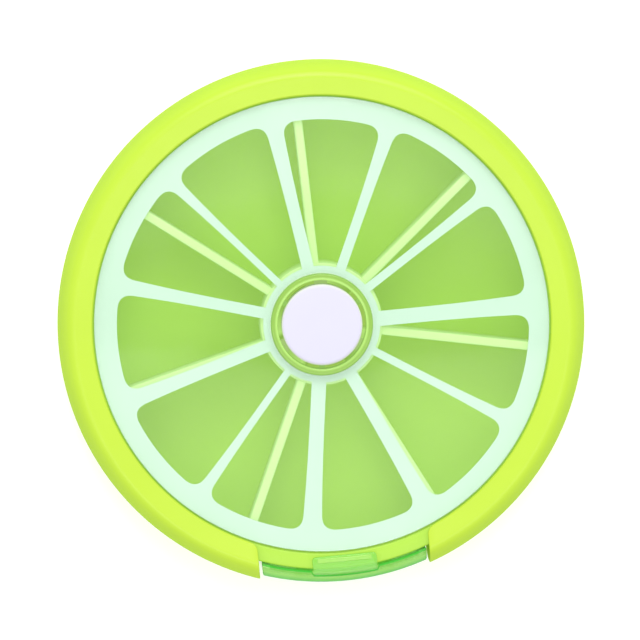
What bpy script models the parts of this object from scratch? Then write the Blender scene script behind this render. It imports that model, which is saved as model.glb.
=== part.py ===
"""Round weekly pill organizer with a citrus-slice top, modelled piece by piece.

Metres, +Z up, origin at the middle of the face it rests on, outlet towards -Y.
Pressing the button drives a twisted stem through the indexer, which turns the
tray on by one of its seven compartments.
"""

import math

import bmesh
import bpy
from mathutils import Matrix, Vector

# Counts
COMPARTMENTS = 7
SLICE_SEGMENTS = 11
PAWLS = 3
HOOKS = 3
RIBS = 3
STEM_LOBES = 3
SPRING_TURNS = 8

# Facet counts
LARGE_STEPS = 60
CASE_STEPS = 48
SMALL_STEPS = 30
PIN_STEPS = 12
BULGE_STEPS = 10
HOLLOW_STEPS = 5
CORNER_STEPS = 4
SPRING_POINTS_PER_TURN = 9
STEM_STEPS = 30

# Shared clearances
GAP = 0.0003
RUNNING_GAP = 0.0004
OVERRUN = 0.001
MERGE_DISTANCE = 0.000001
MILLIMETRE = 0.001

# Rind ring: a bulged shell round the case, with a superellipse for a section
RIND_RADIUS = 0.0460
RIND_TOP = 0.0240
RIND_FOOT = 0.0006
RIND_BULGE = 0.0032
RIND_BULGE_EXPONENT = 2.5
RIND_WALL = 0.0014
RIND_LIP_THICKNESS = 0.0006
RIND_LIP_SET_BACK = 0.0002
RIND_BOTTOM_RIM = 0.0014

# Upper case: wall, flange round the window and ledge under it
CASE_INSET = 0.0035
CASE_WALL = 0.0015
CASE_BOTTOM = 0.0009
FLANGE_TOP = 0.0227
FLANGE_WIDTH = 0.0027
LEDGE_THICKNESS = 0.0011
LEDGE_REACH = 0.0015
SNAP_DEPTH = 0.0003
SNAP_HEIGHT = 0.0006

# Outlet in the wall of the case
OUTLET_HALF_WIDTH = 0.0130
OUTLET_BOTTOM = 0.0044
OUTLET_TOP = 0.0194
OUTLET_CORNER = 0.0015

# Window and the mint slice under it
WINDOW_THICKNESS = 0.0013
WINDOW_EDGE = 0.0003
COLLAR_WIDTH = 0.0011
COLLAR_HEIGHT = 0.0007
SLEEVE_INSET = 0.0002
INLAY_THICKNESS = 0.0004
INLAY_MARGIN = 0.0002
INLAY_BORE_MARGIN = 0.0001
SEGMENT_INNER_RADIUS = 0.01015
SLICE_RIM_WIDTH = 0.0034
SEGMENT_CORNER = 0.0025
SPOKE_WIDTH = 0.0018
SPOKE_FLARE = 0.0010
SPOKE_FLARE_EXPONENT = 3.0
SPOKE_SIDE_SHARES = (0.0, 0.4, 0.6, 0.8, 1.0)
SPOKE_WIDTH_SHARES = (1.44, 0.80, 0.94, 1.14, 0.67, 1.08, 1.17, 0.69, 1.39, 1.25, 0.75)
SEGMENT_REACH_SHARES = (1.000, 1.008, 0.990, 0.999, 0.998, 0.990, 1.003, 1.003, 0.998, 1.009, 1.003)

# Button, with hooks that stop it under the sleeve and grooves for the sleeve's ribs
BUTTON_RADIUS = 0.0070
BUTTON_TOP = 0.0255
BUTTON_ROOF = 0.0012
BUTTON_EDGE = 0.0006
BUTTON_WALL = 0.0007
BUTTON_PLAY = 0.0007
BUTTON_BOTTOM = 0.0166
BUTTON_STROKE = 0.0040
HOOK_REACH = 0.0012
HOOK_THICKNESS = 0.0012
HOOK_ANGLE = math.radians(18.0)
HOOK_START = math.radians(76.5)
SOCKET_WALL = 0.0010
RIB_WIDTH = 0.0010
RIB_REACH = 0.0006
RIB_HEIGHT = 0.0015
RIB_START = math.radians(25.5)

# Twisted stem
STEM_RADIUS = 0.0040
STEM_LOBE = 0.00045
STEM_CLEARANCE = 0.00028
STEM_BOTTOM = 0.0092
STEM_NECK_RADIUS = 0.0032
STEM_NECK_BOTTOM = 0.0196
STEM_RINGS = 10
STEM_BORE_RADIUS = 0.0027
STEM_BORE_TOP = 0.0186

# Return spring
SPRING_RADIUS = 0.0022
SPRING_WIRE_RADIUS = 0.00025

# Bottom cover
FOOT_INSET = 0.0021
FOOT_WIDTH = 0.0020
FLOOR_THICKNESS = 0.0015
COVER_RIM_WIDTH = 0.0014
COVER_RIM_HEIGHT = 0.0004
POST_RADIUS = 0.0015
POST_TOP = 0.0080
BOSS_RADIUS = 0.0062
BOSS_WALL = 0.0012
BOSS_TOP = 0.0093
THRUST_RING_WIDTH = 0.0016
DETENT_REACH = 0.0004
DETENT_HALF_HEIGHT = 0.0005
DETENT_NUB_RADIUS = 0.0006
SLIT_WIDTH = 0.0005
SLIT_BOTTOM = 0.0042
SLIT_ANGLE = math.radians(16.0)

# Tray
TRAY_FLOOR_BOTTOM = 0.0029
TRAY_FLOOR_THICKNESS = 0.0012
TRAY_WALL = 0.0015
TRAY_WALL_EDGE = 0.0003
TRAY_WALL_LEAD = math.radians(1.2)
HUB_TOP = 0.0208
HUB_BORE_RADIUS = 0.0093
HUB_WALL = 0.0013
HUB_TAPER = 0.0003
HUB_FOOT_STEP = 0.0003
HUB_WEB_BOTTOM = 0.0064
HUB_WEB_THICKNESS = 0.0012
WEB_BORE_RADIUS = 0.0069
NOTCH_RADIUS = 0.0009

# Ratchet ring
RATCHET_BASE = 0.0011
RATCHET_TOOTH = 0.0010
RATCHET_STEPS = 8
RATCHET_START = math.radians(-10.0)

# Indexer
NUT_RADIUS = 0.0060
NUT_HEIGHT = 0.0049
PAWL_ARM_BOTTOM = 0.0110
PAWL_ARM_THICKNESS = 0.0007
PAWL_INNER_RADIUS = 0.0070
PAWL_OUTER_RADIUS = 0.0084
PAWL_ROOT_ANGLE = math.radians(14.0)
PAWL_ARM_ANGLE = math.radians(48.0)
PAWL_TOOTH_ANGLE = math.radians(9.0)

# Lid, its hinge and its pin
HINGE_INSET = 0.0027
HINGE_HEIGHT = 0.0020
HINGE_HALF_LENGTH = 0.0085
BARREL_RADIUS = 0.00110
BARREL_BORE_RADIUS = 0.00070
PIN_RADIUS = 0.00040
LID_HALF_WIDTH = 0.0143
LID_END_GAP = 0.00055
LID_SET_BACK = 0.00075
LID_WALL = 0.0013
LID_BOTTOM = 0.0036
KNUCKLE_INNER = 0.0028
KNUCKLE_OUTER = 0.0056
TAB_HALF_WIDTH = 0.0056
TAB_INSET = 0.00585
TAB_LENGTH = 0.0033
TAB_THICKNESS = 0.0009
TAB_RIDGE_WIDTH = 0.0008
TAB_RIDGE_HEIGHT = 0.0003
TAB_CORNER = 0.0006

# Places that follow from the sizes above
TOOTH_PITCH = 2.0 * math.pi / COMPARTMENTS
TWIST_RATE = TOOTH_PITCH / BUTTON_STROKE
FRONT = -math.pi / 2.0
CASE_RADIUS = RIND_RADIUS - CASE_INSET
CASE_INNER_RADIUS = CASE_RADIUS - CASE_WALL
RIND_INNER_RADIUS = CASE_RADIUS + GAP
RIND_CROWN_RADIUS = RIND_RADIUS - RIND_BULGE
RIND_MIDDLE = (RIND_TOP + RIND_FOOT) / 2.0
RIND_HALF_HEIGHT = (RIND_TOP - RIND_FOOT) / 2.0
RIND_FRONT_HALF_WIDTH = LID_HALF_WIDTH + LID_END_GAP
FLANGE_BORE_RADIUS = CASE_RADIUS - FLANGE_WIDTH
RIND_LIP_RADIUS = FLANGE_BORE_RADIUS + RIND_LIP_SET_BACK
LEDGE_RADIUS = FLANGE_BORE_RADIUS - LEDGE_REACH
WINDOW_RADIUS = FLANGE_BORE_RADIUS - GAP
WINDOW_TOP = FLANGE_TOP + GAP + RIND_LIP_THICKNESS / 2.0
WINDOW_BOTTOM = WINDOW_TOP - WINDOW_THICKNESS
COLLAR_BORE_RADIUS = BUTTON_RADIUS + BUTTON_PLAY
COLLAR_OUTER_RADIUS = COLLAR_BORE_RADIUS + COLLAR_WIDTH
SLEEVE_RADIUS = COLLAR_OUTER_RADIUS - SLEEVE_INSET
INLAY_RADIUS = WINDOW_RADIUS - INLAY_MARGIN
INLAY_BORE_RADIUS = COLLAR_OUTER_RADIUS + INLAY_BORE_MARGIN
INLAY_BOTTOM = WINDOW_BOTTOM - GAP - INLAY_THICKNESS
SEGMENT_OUTER_RADIUS = INLAY_RADIUS - SLICE_RIM_WIDTH
LEDGE_TOP = INLAY_BOTTOM - GAP
LEDGE_BOTTOM = LEDGE_TOP - LEDGE_THICKNESS
HOOK_TOP = BUTTON_BOTTOM + HOOK_THICKNESS
HOOK_RADIUS = BUTTON_RADIUS + HOOK_REACH
SLEEVE_BOTTOM = HOOK_TOP + GAP
RIB_RADIUS = BUTTON_RADIUS - RIB_REACH
RIB_TOP = SLEEVE_BOTTOM + RIB_HEIGHT
GROOVE_TOP = RIB_TOP + BUTTON_STROKE + GAP
FLOOR_TOP = RIND_FOOT + FLOOR_THICKNESS
COVER_RADIUS = CASE_INNER_RADIUS - GAP
COVER_RIM_TOP = FLOOR_TOP + COVER_RIM_HEIGHT
FOOT_OUTER_RADIUS = COVER_RADIUS - FOOT_INSET
TRAY_FLOOR_TOP = TRAY_FLOOR_BOTTOM + TRAY_FLOOR_THICKNESS
TRAY_RADIUS = CASE_INNER_RADIUS - RUNNING_GAP
TRAY_WALL_TOP = LEDGE_BOTTOM - GAP
HUB_TOP_RADIUS = HUB_BORE_RADIUS + HUB_WALL
HUB_FOOT_RADIUS = HUB_TOP_RADIUS + HUB_TAPER
HUB_WEB_TOP = HUB_WEB_BOTTOM + HUB_WEB_THICKNESS
THRUST_RING_TOP = TRAY_FLOOR_BOTTOM - GAP
THRUST_RING_RADIUS = HUB_BORE_RADIUS + THRUST_RING_WIDTH
RATCHET_BOTTOM = HUB_WEB_TOP + GAP
RATCHET_BASE_TOP = RATCHET_BOTTOM + RATCHET_BASE
RATCHET_CREST = RATCHET_BASE_TOP + RATCHET_TOOTH
RATCHET_RADIUS = HUB_BORE_RADIUS - GAP
NUT_BOTTOM = BOSS_TOP + GAP
NUT_TOP = NUT_BOTTOM + NUT_HEIGHT
STEM_TOP = BUTTON_TOP - BUTTON_ROOF - GAP
SOCKET_BORE_RADIUS = STEM_NECK_RADIUS + GAP
SOCKET_BOTTOM = STEM_NECK_BOTTOM + GAP
SPRING_BOTTOM = FLOOR_TOP + GAP + SPRING_WIRE_RADIUS
SPRING_TOP = STEM_BORE_TOP - GAP - SPRING_WIRE_RADIUS
FLOOR_MIDDLE = FLOOR_TOP - FLOOR_THICKNESS / 2.0
DETENT_HEIGHT = HUB_WEB_BOTTOM + HUB_WEB_THICKNESS / 2.0
HINGE_RADIUS = RIND_RADIUS - HINGE_INSET
LID_INNER_RADIUS = RIND_INNER_RADIUS
LID_TOP = RIND_TOP - LID_SET_BACK
TAB_REACH = RIND_RADIUS - TAB_INSET
TAB_ROOT = TAB_REACH + TAB_LENGTH


def clear_scene():
    """Remove every object that a new file starts with."""
    for item in list(bpy.data.objects):
        bpy.data.objects.remove(item, do_unlink=True)


def new_collection(name):
    """A collection linked to the scene."""
    collection = bpy.data.collections.new(name)
    bpy.context.scene.collection.children.link(collection)
    return collection


clear_scene()
PARTS = new_collection("pill_organizer")
CUTTERS = new_collection("cutters")


# Helpers


def plastic(name, colour, roughness, metallic=0.0, alpha=1.0):
    """A Principled BSDF material."""
    material = bpy.data.materials.new(name)
    material.use_nodes = True
    shader = material.node_tree.nodes["Principled BSDF"]
    shader.inputs["Base Color"].default_value = (*colour, 1.0)
    shader.inputs["Roughness"].default_value = roughness
    shader.inputs["Metallic"].default_value = metallic
    shader.inputs["Alpha"].default_value = alpha
    return material


def add_object(name, mesh, collection):
    """An object for a mesh, in a collection."""
    item = bpy.data.objects.new(name, mesh)
    collection.objects.link(item)
    return item


def add_part(name, mesh, material):
    """A sub-part of the organizer with its material."""
    item = add_object(name, mesh, PARTS)
    mesh.materials.append(material)
    return item


def add_guide(name, mesh):
    """A shape that cuts or joins others and isn't a part itself."""
    item = add_object(name, mesh, CUTTERS)
    item.hide_render = True
    item.display_type = "WIRE"
    return item


def boolean(item, tool, operation, solver="EXACT"):
    """Cut, join or intersect an item with a tool."""
    modifier = item.modifiers.new(operation.lower(), "BOOLEAN")
    modifier.operation = operation
    modifier.solver = solver
    modifier.object = tool


def cut(item, tool):
    boolean(item, tool, "DIFFERENCE")


def cut_closed(item, tool):
    """Cut where the exact solver leaves a closed shape empty or open."""
    boolean(item, tool, "DIFFERENCE", "MANIFOLD")


def join(item, tool):
    boolean(item, tool, "UNION")


def keep_inside(item, tool):
    boolean(item, tool, "INTERSECT")


def smooth(item):
    """Smooth shading with crisp corners."""
    item.data.shade_smooth()
    item.data.set_sharp_from_angle(angle=math.radians(30.0))


def evaluated_mesh(item):
    """The mesh of an item with its modifiers applied."""
    graph = bpy.context.evaluated_depsgraph_get()
    return bpy.data.meshes.new_from_object(item.evaluated_get(graph))


def apply_modifiers(item):
    """Replace an item's mesh by its evaluated one."""
    mesh = evaluated_mesh(item)
    item.modifiers.clear()
    item.data = mesh


def set_origin(item, point):
    """Move an item's origin to a point and leave its shape where it is."""
    item.data.transform(Matrix.Translation(-Vector(point)))
    item.location = point


def box_mesh(name, low, high):
    """A box between two corners."""
    low = Vector(low)
    high = Vector(high)
    bm = bmesh.new()
    bmesh.ops.create_cube(bm, size=1.0)
    size = high - low
    bmesh.ops.scale(bm, vec=size, verts=bm.verts)
    bmesh.ops.translate(bm, vec=(low + high) / 2.0, verts=bm.verts)
    mesh = bpy.data.meshes.new(name)
    bm.to_mesh(mesh)
    bm.free()
    return mesh


def cylinder_mesh(name, radius, low, high, steps):
    """A cylinder between two points."""
    low = Vector(low)
    high = Vector(high)
    axis = high - low
    bm = bmesh.new()
    turn = Vector((0, 0, 1)).rotation_difference(axis).to_matrix().to_4x4()
    bmesh.ops.create_cone(
        bm,
        cap_ends=True,
        segments=steps,
        radius1=radius,
        radius2=radius,
        depth=axis.length,
        matrix=Matrix.Translation((low + high) / 2.0) @ turn,
    )
    mesh = bpy.data.meshes.new(name)
    bm.to_mesh(mesh)
    bm.free()
    return mesh


def profile_mesh(name, points, closed):
    """A profile of (radius, height) points for a Screw modifier."""
    mesh = bpy.data.meshes.new(name)
    vertices = [(radius, 0, height) for radius, height in points]
    edges = [(i, i + 1) for i in range(len(points) - 1)]
    if closed:
        edges.append((len(points) - 1, 0))
    mesh.from_pydata(vertices, edges, [])
    return mesh


def revolve(item, steps, angle=2.0 * math.pi, rise=0.0):
    """Turn an item's profile about +Z."""
    screw = item.modifiers.new("screw", "SCREW")
    screw.axis = "Z"
    screw.angle = angle
    screw.screw_offset = rise
    screw.steps = steps
    screw.render_steps = steps
    screw.use_merge_vertices = angle >= 2.0 * math.pi
    screw.merge_threshold = MERGE_DISTANCE
    screw.use_smooth_shade = True


def outline_mesh(name, outlines, bottom, top):
    """A flat shape with holes, given as closed outlines, extruded from bottom to top."""
    curve = bpy.data.curves.new(name, "CURVE")
    curve.dimensions = "2D"
    curve.fill_mode = "BOTH"
    curve.extrude = (top - bottom) / 2.0
    for outline in outlines:
        spline = curve.splines.new("POLY")
        spline.points.add(len(outline) - 1)
        for point, (x, y) in zip(spline.points, outline):
            point.co = (x, y, 0, 1)
        spline.use_cyclic_u = True
    item = add_object(name, curve, CUTTERS)
    item.location.z = (top + bottom) / 2.0
    bpy.context.view_layer.update()
    mesh = evaluated_mesh(item)
    mesh.transform(item.matrix_world)
    bpy.data.objects.remove(item)
    bm = bmesh.new()
    bm.from_mesh(mesh)
    bmesh.ops.remove_doubles(bm, verts=bm.verts, dist=MERGE_DISTANCE)
    bmesh.ops.recalc_face_normals(bm, faces=bm.faces)
    bm.to_mesh(mesh)
    bm.free()
    return mesh


def merged_copies(name, mesh, angles):
    """One mesh made of turned copies of a mesh about +Z."""
    bm = bmesh.new()
    for angle in angles:
        copy = mesh.copy()
        copy.transform(Matrix.Rotation(angle, 4, "Z"))
        bm.from_mesh(copy)
        bpy.data.meshes.remove(copy)
    merged = bpy.data.meshes.new(name)
    bm.to_mesh(merged)
    bm.free()
    return merged


def spread(count, start=0.0):
    """Angles shared out evenly over a turn."""
    return [start + 2.0 * math.pi * index / count for index in range(count)]


def polar(radius, angle):
    """The point at a radius and angle about the middle."""
    return (radius * math.cos(angle), radius * math.sin(angle))


def arc(radius, start, end, steps):
    """Points along an arc about the middle."""
    return [polar(radius, start + (end - start) * i / steps) for i in range(steps + 1)]


def circle(radius, steps):
    """Points round a circle about the middle."""
    return [polar(radius, angle) for angle in spread(steps)]


def bulge_turn(height, half_height):
    """Angle on the superellipse at which the bulged side has a height."""
    share = max(-1.0, min(1.0, (height - RIND_MIDDLE) / half_height))
    return math.copysign(math.asin(abs(share) ** (RIND_BULGE_EXPONENT / 2.0)), share)


def bulge_points(low, high, steps, inset=0.0):
    """The bulged side from high to low, or that of a shell that lies an inset inside it."""
    half_height = RIND_HALF_HEIGHT - inset
    start = bulge_turn(high, half_height)
    end = bulge_turn(low, half_height)
    power = 2.0 / RIND_BULGE_EXPONENT
    points = []
    for index in range(steps + 1):
        turn = start + (end - start) * index / steps
        radius = RIND_CROWN_RADIUS + (RIND_BULGE - inset) * max(0.0, math.cos(turn)) ** power
        rise = half_height * abs(math.sin(turn)) ** power
        points.append((radius, RIND_MIDDLE + math.copysign(rise, turn)))
    return points


# Sub-parts


def make_rind_ring(material):
    """C-shaped ring, hollow behind its bulged side, with closed ends at the outlet."""
    lip_bottom = FLANGE_TOP + GAP
    lip_top = lip_bottom + RIND_LIP_THICKNESS
    profile = bulge_points(RIND_FOOT + RIND_BOTTOM_RIM / 2.0, RIND_TOP, BULGE_STEPS)
    profile.append((profile[-1][0] - RIND_LIP_THICKNESS / 2.0, RIND_FOOT))
    profile.append((RIND_INNER_RADIUS, RIND_FOOT))
    profile.append((RIND_INNER_RADIUS, lip_bottom))
    profile.append((RIND_LIP_RADIUS, lip_bottom))
    profile.append((RIND_LIP_RADIUS, lip_top - RIND_LIP_THICKNESS / 3.0))
    profile.append((RIND_LIP_RADIUS + RIND_LIP_THICKNESS / 3.0, lip_top))
    ring = add_part("rind_ring", profile_mesh("rind_ring", profile, True), material)
    revolve(ring, LARGE_STEPS)

    low = RIND_FOOT + RIND_BOTTOM_RIM
    high = lip_bottom - RIND_WALL / 2.0
    hollow_profile = bulge_points(low, high, HOLLOW_STEPS, RIND_WALL)
    hollow_profile.append((CASE_RADIUS, low))
    hollow_profile.append((CASE_RADIUS, high))
    hollow = add_guide("rind_hollow", profile_mesh("rind_hollow", hollow_profile, True))
    revolve(hollow, LARGE_STEPS)
    keep = RIND_FRONT_HALF_WIDTH + RIND_WALL
    reach = RIND_RADIUS + OVERRUN
    ends = add_guide(
        "rind_ends",
        box_mesh("rind_ends", (-keep, -reach, -OVERRUN), (keep, 0, RIND_TOP + OVERRUN)),
    )
    cut_closed(hollow, ends)
    cut_closed(ring, hollow)
    width = RIND_FRONT_HALF_WIDTH
    front = add_guide(
        "rind_front",
        box_mesh("rind_front", (-width, -reach, -OVERRUN), (width, 0, RIND_TOP + OVERRUN)),
    )
    cut_closed(ring, front)
    smooth(ring)
    return ring


def make_upper_case(material):
    """Wall, flange and ledge, with the outlet and the notch for the hinge."""
    snap_middle = FLOOR_MIDDLE
    profile = [
        (CASE_RADIUS, FLANGE_TOP),
        (CASE_RADIUS, CASE_BOTTOM),
        (CASE_INNER_RADIUS, CASE_BOTTOM),
        (CASE_INNER_RADIUS, snap_middle - SNAP_HEIGHT / 2.0 - GAP / 2.0),
        (CASE_INNER_RADIUS + SNAP_DEPTH, snap_middle),
        (CASE_INNER_RADIUS, snap_middle + SNAP_HEIGHT / 2.0 + GAP / 2.0),
        (CASE_INNER_RADIUS, LEDGE_BOTTOM),
        (LEDGE_RADIUS, LEDGE_BOTTOM),
        (LEDGE_RADIUS, LEDGE_TOP),
        (FLANGE_BORE_RADIUS, LEDGE_TOP),
        (FLANGE_BORE_RADIUS, FLANGE_TOP),
    ]
    case = add_part("upper_case", profile_mesh("upper_case", profile, True), material)
    revolve(case, CASE_STEPS)

    reach = CASE_RADIUS + OVERRUN
    depth = CASE_INNER_RADIUS / 2.0
    outlet = add_guide(
        "outlet",
        box_mesh(
            "outlet",
            (-OUTLET_HALF_WIDTH, -reach, OUTLET_BOTTOM),
            (OUTLET_HALF_WIDTH, -depth, OUTLET_TOP),
        ),
    )
    round_along(outlet, "Y", OUTLET_CORNER)
    cut(case, outlet)
    notch_half_width = HINGE_HALF_LENGTH + GAP
    notch_top = HINGE_HEIGHT + BARREL_RADIUS + GAP
    notch = add_guide(
        "hinge_notch",
        box_mesh(
            "hinge_notch",
            (-notch_half_width, -reach, -OVERRUN),
            (notch_half_width, -depth, notch_top),
        ),
    )
    cut(case, notch)
    smooth(case)
    return case


def round_along(item, axis, radius):
    """Round the edges of a box that run along one axis."""
    bm = bmesh.new()
    bm.from_mesh(item.data)
    index = "XYZ".index(axis)
    chosen = []
    for edge in bm.edges:
        run = edge.verts[1].co - edge.verts[0].co
        if abs(run[index]) > 0 and abs(run[index]) >= run.length - MERGE_DISTANCE:
            chosen.append(edge)
    bmesh.ops.bevel(
        bm,
        geom=chosen,
        offset=radius,
        segments=CORNER_STEPS,
        profile=0.5,
        affect="EDGES",
    )
    bm.to_mesh(item.data)
    bm.free()


def make_window(material):
    """Clear disc with the collar above it and the button's sleeve below."""
    collar_top = WINDOW_TOP + COLLAR_HEIGHT
    profile = [
        (COLLAR_OUTER_RADIUS - WINDOW_EDGE, collar_top),
        (COLLAR_OUTER_RADIUS, collar_top - WINDOW_EDGE),
        (COLLAR_OUTER_RADIUS, WINDOW_TOP),
        (WINDOW_RADIUS - WINDOW_EDGE, WINDOW_TOP),
        (WINDOW_RADIUS, WINDOW_TOP - WINDOW_EDGE),
        (WINDOW_RADIUS, WINDOW_BOTTOM),
        (SLEEVE_RADIUS, WINDOW_BOTTOM),
        (SLEEVE_RADIUS, SLEEVE_BOTTOM),
        (COLLAR_BORE_RADIUS, SLEEVE_BOTTOM),
        (COLLAR_BORE_RADIUS, collar_top - WINDOW_EDGE),
        (COLLAR_BORE_RADIUS + WINDOW_EDGE, collar_top),
    ]
    window = add_part("window", profile_mesh("window", profile, True), material)
    revolve(window, LARGE_STEPS)
    half = RIB_WIDTH / 2.0
    inside_sleeve = (COLLAR_BORE_RADIUS + SLEEVE_RADIUS) / 2.0
    rib = box_mesh(
        "rib",
        (RIB_RADIUS, -half, SLEEVE_BOTTOM + GAP / 2.0),
        (inside_sleeve, half, RIB_TOP),
    )
    ribs = add_guide("ribs", merged_copies("ribs", rib, spread(RIBS, RIB_START)))
    join(window, ribs)
    smooth(window)
    return window


def spoke_side(spoke_angle, sign, width, rim_radius):
    """Points up one side of a spoke, which flares towards the rim."""
    along = Vector(polar(1.0, spoke_angle))
    across = Vector((-along.y, along.x)) * sign
    points = []
    for share in SPOKE_SIDE_SHARES:
        radius = SEGMENT_INNER_RADIUS + (rim_radius - SEGMENT_INNER_RADIUS) * share
        half_width = (width + SPOKE_FLARE * share**SPOKE_FLARE_EXPONENT) / 2.0
        points.append(along * math.sqrt(radius**2 - half_width**2) + across * half_width)
    return points


def segment_outline(first_angle, last_angle, first_width, last_width, rim_radius):
    """One slice segment: two spoke sides, a round rim and rounded outer corners."""
    first_side = spoke_side(first_angle, 1.0, first_width, rim_radius)
    last_side = spoke_side(last_angle, -1.0, last_width, rim_radius)
    first_corner = rim_corner(first_side, 1.0, rim_radius)
    last_corner = rim_corner(last_side, -1.0, rim_radius)
    start = math.atan2(first_corner[-1].y, first_corner[-1].x)
    end = math.atan2(last_corner[-1].y, last_corner[-1].x)
    if end < start:
        end += 2.0 * math.pi
    outline = first_side[:-1] + first_corner
    outline += arc(rim_radius, start, end, CORNER_STEPS)[1:-1]
    outline += last_corner[::-1] + last_side[-2::-1]
    return [(point[0], point[1]) for point in outline]


def rim_corner(side, sign, rim_radius):
    """Rounded corner from the end of a spoke side onto the rim."""
    corner = side[-1]
    run = side[-2] - corner
    on_side = corner + run.normalized() * SEGMENT_CORNER
    angle = math.atan2(corner.y, corner.x) + sign * SEGMENT_CORNER / rim_radius
    on_rim = Vector(polar(rim_radius, angle))
    return quarter_turn(on_side, corner, on_rim)


def quarter_turn(start, corner, end):
    """Points of a rounded corner, as a quadratic curve."""
    points = []
    for index in range(CORNER_STEPS + 1):
        share = index / CORNER_STEPS
        first = start.lerp(corner, share)
        second = corner.lerp(end, share)
        points.append(first.lerp(second, share))
    return points


def make_slice_inlay(material):
    """Mint sheet with the eleven segments cut out of it."""
    outlines = [circle(INLAY_RADIUS, LARGE_STEPS), circle(INLAY_BORE_RADIUS, SMALL_STEPS)]
    pitch = 2.0 * math.pi / SLICE_SEGMENTS
    widths = [SPOKE_WIDTH * share for share in SPOKE_WIDTH_SHARES]
    for index, reach_share in enumerate(SEGMENT_REACH_SHARES):
        following = (index + 1) % SLICE_SEGMENTS
        first = pitch * index
        rim_radius = SEGMENT_OUTER_RADIUS * reach_share
        outlines.append(
            segment_outline(first, first + pitch, widths[index], widths[following], rim_radius)
        )
    mesh = outline_mesh("slice_inlay", outlines, INLAY_BOTTOM, INLAY_BOTTOM + INLAY_THICKNESS)
    return add_part("slice_inlay", mesh, material)


def make_push_button(material):
    """Cap with three hooks, grooves for the sleeve's ribs and the stem's socket."""
    skirt_bore = BUTTON_RADIUS - BUTTON_WALL
    roof = BUTTON_TOP - BUTTON_ROOF
    socket_radius = SOCKET_BORE_RADIUS + SOCKET_WALL
    profile = [(0, BUTTON_TOP)]
    for index in range(CORNER_STEPS + 1):
        turn = math.pi / 2.0 * (1.0 - index / CORNER_STEPS)
        radius = BUTTON_RADIUS - BUTTON_EDGE + BUTTON_EDGE * math.cos(turn)
        height = BUTTON_TOP - BUTTON_EDGE + BUTTON_EDGE * math.sin(turn)
        profile.append((radius, height))
    profile += [
        (BUTTON_RADIUS, BUTTON_BOTTOM),
        (skirt_bore, BUTTON_BOTTOM),
        (skirt_bore, roof),
        (socket_radius, roof),
        (socket_radius, SOCKET_BOTTOM),
        (SOCKET_BORE_RADIUS, SOCKET_BOTTOM),
        (SOCKET_BORE_RADIUS, roof),
        (0, roof),
    ]
    button = add_part("push_button", profile_mesh("push_button", profile, False), material)
    revolve(button, SMALL_STEPS)
    middle_of_wall = BUTTON_RADIUS - BUTTON_WALL / 2.0
    hook_outline = arc(HOOK_RADIUS, 0.0, HOOK_ANGLE, CORNER_STEPS)
    hook_outline += arc(middle_of_wall, HOOK_ANGLE, 0.0, CORNER_STEPS)
    hook = outline_mesh("hook", [hook_outline], BUTTON_BOTTOM + GAP / 2.0, HOOK_TOP)
    hooks = merged_copies("hooks", hook, spread(HOOKS, HOOK_START))
    join(button, add_guide("hooks", hooks))
    half = RIB_WIDTH / 2.0 + GAP
    groove = box_mesh(
        "groove",
        (RIB_RADIUS - GAP, -half, HOOK_TOP),
        (BUTTON_RADIUS + OVERRUN, half, GROOVE_TOP),
    )
    grooves = merged_copies("grooves", groove, spread(RIBS, RIB_START))
    cut(button, add_guide("grooves", grooves))
    smooth(button)
    return button


def lobed_mesh(name, radius, bottom, top, rings):
    """A three-lobed prism about +Z, in rings ready to be twisted."""
    bm = bmesh.new()
    bmesh.ops.create_circle(bm, cap_ends=True, segments=STEM_STEPS, radius=radius)
    for vertex in bm.verts:
        angle = math.atan2(vertex.co.y, vertex.co.x)
        reach = radius + STEM_LOBE * math.cos(STEM_LOBES * angle)
        vertex.co.x, vertex.co.y = polar(reach, angle)
        vertex.co.z = bottom
    step = (top - bottom) / rings
    edges = list(bm.edges)
    for _ in range(rings):
        extruded = bmesh.ops.extrude_edge_only(bm, edges=edges)["geom"]
        verts = [item for item in extruded if isinstance(item, bmesh.types.BMVert)]
        edges = [item for item in extruded if isinstance(item, bmesh.types.BMEdge)]
        bmesh.ops.translate(bm, vec=(0, 0, step), verts=verts)
    bmesh.ops.contextual_create(bm, geom=edges)
    bmesh.ops.recalc_face_normals(bm, faces=bm.faces)
    mesh = bpy.data.meshes.new(name)
    bm.to_mesh(mesh)
    bm.free()
    return mesh


def twist(item, bottom, top):
    """Twist an item about +Z by one tooth for each stroke of its height."""
    modifier = item.modifiers.new("twist", "SIMPLE_DEFORM")
    modifier.deform_method = "TWIST"
    modifier.deform_axis = "Z"
    modifier.angle = TWIST_RATE * (top - bottom)


def make_drive_stem(material):
    """Twisted three-lobed shaft with a neck for the button and a bore for the spring."""
    mesh = lobed_mesh("drive_stem", STEM_RADIUS, STEM_BOTTOM, STEM_NECK_BOTTOM, STEM_RINGS)
    stem = add_part("drive_stem", mesh, material)
    twist(stem, STEM_BOTTOM, STEM_NECK_BOTTOM)
    overlap = STEM_NECK_BOTTOM - OVERRUN
    neck = add_guide(
        "stem_neck",
        cylinder_mesh("stem_neck", STEM_NECK_RADIUS, (0, 0, overlap), (0, 0, STEM_TOP), SMALL_STEPS),
    )
    join(stem, neck)
    bore = add_guide(
        "stem_bore",
        cylinder_mesh(
            "stem_bore",
            STEM_BORE_RADIUS,
            (0, 0, STEM_BOTTOM - OVERRUN),
            (0, 0, STEM_BORE_TOP),
            SMALL_STEPS,
        ),
    )
    cut(stem, bore)
    smooth(stem)
    return stem


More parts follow.
